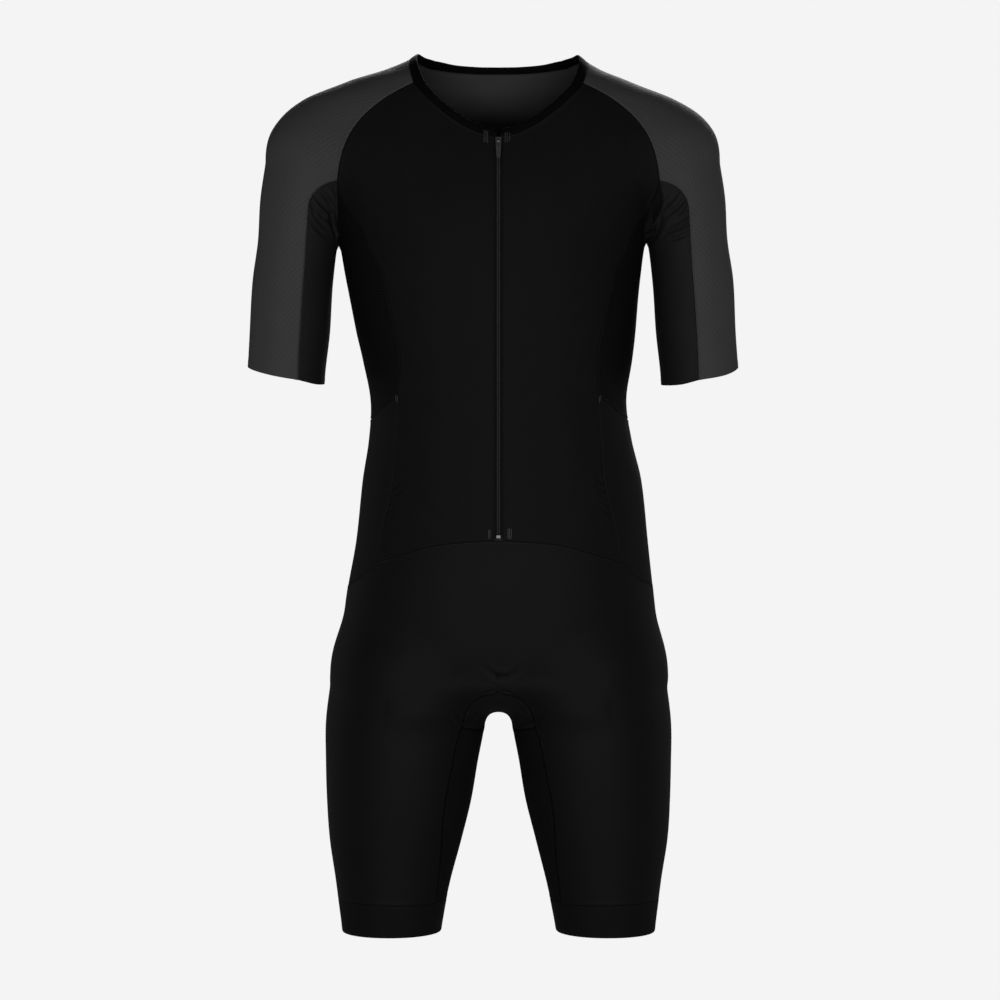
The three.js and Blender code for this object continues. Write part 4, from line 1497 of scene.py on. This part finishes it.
@dataclass
class Zip:
    """The coil zip: tapes, teeth, slider, pull tab and stop."""

    top: float = -98.0
    foot: float = -529.0
    pitch: float = 1.7
    tooth: float = 1.35
    coil: float = 0.6
    lean: float = 0.22
    split: float = 0.35
    tape_inner: float = 2.2
    tape_outer: float = 15.0
    tape_top: float = -90.0
    tape_foot: float = -533.0
    tape_length: float = 450.0
    tape_depths: tuple[float, float] = (1.75, 2.4)
    cord_depths: tuple[float, float] = (1.1, 2.6)
    rows: int = 150

    def frame_at(self, z: Points) -> tuple[Points, Points, Points]:
        """Places down the centre front.

        Args:
            z: heights in millimetres.

        Returns:
            Points, unit vectors off the cloth and unit vectors down it.
        """
        points = FORM.facing(np.zeros_like(z), z, F)
        normals = unit(FORM.normal(points) * (0, 1, 1))
        down = np.stack([np.zeros(len(z)), -normals[:, 2], normals[:, 1]], -1)
        return points, normals, down

    def strip(self, name: str, x: Points, z: Points, depths: tuple[float, float]) -> bpy.types.Object:
        """A woven strip down the front, under the form.

        Args:
            name: the piece's name.
            x: places across, in millimetres.
            z: heights, in millimetres.
            depths: how deep its outside and its inside lie.

        Returns:
            The new piece.
        """
        grid = FORM.facing(x[None], z[:, None], F)
        normal = FORM.normal(grid)
        flat = np.stack(np.broadcast_arrays(np.abs(x)[None], -z[:, None]), -1)
        return shell(name, *(grid - normal * depth for depth in depths), TAPE, flat)

    def tape(self, side: Side) -> None:
        """Builds one woven tape behind a front edge.

        Args:
            side: the wearer's side.
        """
        z = np.linspace(self.tape_top, self.tape_foot, self.rows)
        x = np.array([self.tape_inner, 4, 6, 9, 12, self.tape_outer]) * side.value
        made = self.strip(f"zip_tape_{side.word}_cloth", x, z, self.tape_depths)
        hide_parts(f"zip_tape_{side.word}")

    def teeth(self, side: Side) -> None:
        """Builds one row of the coil, its turns leaning and meshing with the other row's.

        Args:
            side: the wearer's side.
        """
        count = int((self.top - self.foot) / self.pitch)
        z = self.top - self.pitch * (np.arange(count) + (0.25 if side is Side.LEFT else 0.75))
        points, normals, down = self.frame_at(z)
        out = np.zeros_like(points)
        out[:, 0] = side.value
        lean = unit(out + down * self.lean)
        centre = points - normals * self.coil + out * (self.tooth / 2 + self.split)
        made = piece(f"zip_coil_{side.word}", *spindles(centre, lean, normals, self.tooth, self.coil, 8), COIL)
        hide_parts(f"zip_chain_{side.word}")

    def cord(self, side: Side) -> None:
        """Builds the woven cord inside a row of the coil, by the tape's edge."""
        z = np.linspace(self.top, self.foot, self.rows)
        self.strip(f"zip_cord_{side.word}", np.array([0.1, self.tape_inner + 0.4]) * side.value, z, self.cord_depths)

    def build(self) -> None:
        """Builds the zip."""
        for side in Side:
            self.tape(side)
            self.teeth(side)
            self.cord(side)
        for name in ("zip_slider", "zip_bottom_stop", "zip_pull"):
            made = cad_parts[name]
            made.data.materials.clear()
            made.data.materials.append(MATERIALS[METAL])


# Each bar's place across, its upper end and its lower end, in millimetres.
BARS = [(-15.6, -88, -101), (-13.6, -88, -100), (-11.8, -89, -101), (7.4, -91, -101), (9.6, -90, -101),
        (12.2, -91, -100), (-10.6, -523, -533), (-9.2, -523, -533), (10.4, -522, -533), (12.2, -521, -533),
        (14.0, -522, -533), (-112.5, -377, -384), (-110.8, -378, -385), (112.0, -377, -383), (110.6, -378, -384)]


@dataclass
class Sewing:
    """Stitches, seam allowances and bartacks."""

    band_foot: float = -92.5
    band_rise: float = 0.85
    slant: float = 0.5
    bar_step: float = 0.8
    flat: Stitch = Stitch()
    fine: Stitch = Stitch(1.9, 0.7, 0.14, 0.1)
    dense: Stitch = Stitch(2.6, 0.0, 0.3, 0.2)
    # A thick unbroken stitch: black stitching that also paints the shadow under the pad's edge.
    cover_stitch_and_shadow: Stitch = Stitch(3.6, 0.0, 0.38, 0.22)

    def bar(self, x: float, top: float, foot: float) -> tuple[Points, Points]:
        """A bar of dense stitches down the front, raised where it crosses the neck band.

        Args:
            x: its place across, in millimetres.
            top: its upper end's height.
            foot: its lower end's height.

        Returns:
            Points and quads.
        """
        z = np.arange(top - self.dense.length / 2, foot, -self.dense.length * self.bar_step)
        points = FORM.facing(np.full_like(z, x), z, F)
        normals = FORM.normal(points)
        down = unit(FORM.facing(np.full_like(z, x), z - 1, F) - points)
        proud = np.where(z > self.band_foot, self.band_rise, 0.0) + self.dense.proud
        return spindles(points + normals * proud[:, None], down, normals, self.dense.length, self.dense.radius)

    def marks(self) -> None:
        """The bars that hold the zip's ends and the corners of the pocket edges, and the grey rows of thread, whose
        pocket-edge rows are partly a painted highlight.
        """
        piece("bartacks", *joined([self.bar(*row) for row in BARS]), BARTACK)
        rows = []
        for side in Side:
            # The grey row along each pocket edge is partly topstitching and partly a painted highlight of the folded
            # edge.
            for name, offset in (("neck_front", 2.6), ("waist_front", 1.6), ("pocket_edge", -1.4)):
                rows.append(stitched_row(SEWN[side][name], offset * side.value, self.fine))
        piece("stitches_grey", *joined(rows), GREY_THREAD_AND_HIGHLIGHT)

    def build(self) -> None:
        """Builds the sewing, joined by where it lies."""
        self.marks()
        both = ("raglan_front", "raglan_back", "split_front", "split_back", "armhole", "side_front", "side_back",
                "hip_front", "hip_back", "pocket_edge", "yoke_foot", "waist_front", "waist_side_front",
                "waist_side_back", "waist_back")
        lower = ("centre_back", "leg_side", "band_front", "band_inner", "band_back")
        inner = ("pad_front", "pad_back", "pad_side", "inner_front", "inner_back")
        pair, band = (-1.5, 1.5), (-0.8, 0.0, 0.8)
        groups = (
            ("raglan", both[:2], self.flat, pair, THREAD, REVERSE),
            ("upper", both[2:], self.flat, pair, THREAD, THREAD),
            ("shorts", lower, self.flat, pair, THREAD, THREAD),
            # The near-black band along the gusset's and inner legs' seams is partly flatlock stitching and partly
            # painted shadow under the pad's edge.
            ("inner", inner, self.cover_stitch_and_shadow, band, BINDING, BINDING),
        )
        for group, names, stitch, offsets, thread, allowance in groups:
            for side in Side:
                lines = [SEWN[side][name] for name in names]
                rows = [stitched_row(line, k, stitch, self.slant * k) for line in lines for k in offsets]
                piece(f"stitches_{group}_{side.word}", *joined(rows), thread)
                tapes = [seam_tape(line) for line in lines]
                piece(f"seam_allowance_{group}_{side.word}", *joined(tapes), allowance)


# Each light's name, place and size in metres, and power in watts.
LIGHTS = (
    ("key", (0.1, -3.6, -0.66), (2.4, 0.8), 84),
    ("left_side", (-3.0, 1.4, -0.1), (0.9, 2.0), 10),
    ("right_side", (3.0, 1.4, -0.1), (0.9, 2.0), 10),
    ("back", (0.4, 3.2, 1.4), (2.4, 1.2), 115),
)


@dataclass
class Studio:
    """The pale surround, the light and the camera."""

    target: tuple[float, float, float] = (1.7, 0.0, -496.2)
    eye: tuple[float, float, float] = (1.7, -4000.0, -275.0)
    pixel_mm: float = 1.12
    image: int = 1000
    sensor: float = 36.0
    pale: str = "#f4f4f4"
    fill: float = 0.10
    bounce: float = 0.22
    floor_reach: float = 12.0
    floor_z: float = -1.25

    def aim(self, made: bpy.types.Object, place: Vector) -> None:
        """Puts an object at a place in metres, and turns it to the middle of the suit."""
        made.location = place
        made.rotation_euler = (Vector(self.target) * MM - place).to_track_quat("-Z", "Y").to_euler()

    def camera(self) -> None:
        """Sets the camera at the photograph's place."""
        data = bpy.data.cameras.new("camera")
        eye, target = Vector(self.eye) * MM, Vector(self.target) * MM
        data.sensor_width = self.sensor
        data.lens = (target - eye).length / (self.pixel_mm * MM) * self.sensor / self.image
        bpy.context.scene.camera = linked("camera", data)
        self.aim(bpy.context.scene.camera, eye)

    def light(self, name: str, place: tuple[float, float, float], size: tuple[float, float], power: float) -> None:
        """Adds a soft box that looks at the suit.

        Args:
            name: its name.
            place: where it stands, in metres.
            size: its width and height in metres.
            power: its power in watts.
        """
        data = bpy.data.lights.new(name, "AREA")
        data.shape = "RECTANGLE"
        data.size, data.size_y = size
        data.energy = power
        self.aim(linked(name, data), Vector(place))

    def paint(self, owner: bpy.types.Material | bpy.types.World, glow: str, output: str, strength: float) -> None:
        """Gives the world or the floor its pale tone, and less light than it shows.

        Args:
            owner: the world or the floor's material.
            glow: the type of the node that glows.
            output: the type of the output node.
            strength: how much light it gives, as a share of what it shows.
        """
        tree = cleared(owner)
        ray = node(tree, "ShaderNodeLightPath")
        lit, seen = (node(tree, glow, Color=linear(self.pale), Strength=k).outputs[0] for k in (strength, 1.0))
        mix = node(tree, "ShaderNodeMixShader", i0=ray.outputs["Is Camera Ray"], i1=lit, i2=seen)
        node(tree, output, Surface=mix.outputs[0])

    def surround(self) -> None:
        """A pale floor and a world of the same tone."""
        world = bpy.data.worlds.new("studio")
        bpy.context.scene.world = world
        self.paint(world, "ShaderNodeBackground", "ShaderNodeOutputWorld", self.fill)
        material = bpy.data.materials.new("pale_floor")
        self.paint(material, "ShaderNodeEmission", "ShaderNodeOutputMaterial", self.bounce)
        mesh = bpy.data.meshes.new("floor")
        square = ((-1, -1), (1, -1), (1, 1), (-1, 1))
        corners = [(x * self.floor_reach, y * self.floor_reach, self.floor_z) for x, y in square]
        mesh.from_pydata(corners, [], [(0, 1, 2, 3)])
        mesh.materials.append(material)
        floor = linked("floor", mesh)

    def build(self) -> None:
        """Builds the studio."""
        self.camera()
        self.surround()
        for row in LIGHTS:
            self.light(*row)
        bpy.context.scene.view_settings.view_transform = "Standard"


def main() -> None:
    """Builds the suit and its studio."""
    logging.basicConfig(level=logging.INFO, format="%(message)s")
    Studio().build()
    for assembly in (Upper(), Shorts(), NeckBand(), Zip(), Sewing()):
        assembly.build()
        LOG.info("%s done", type(assembly).__name__)


if __name__ == "__main__":
    main()
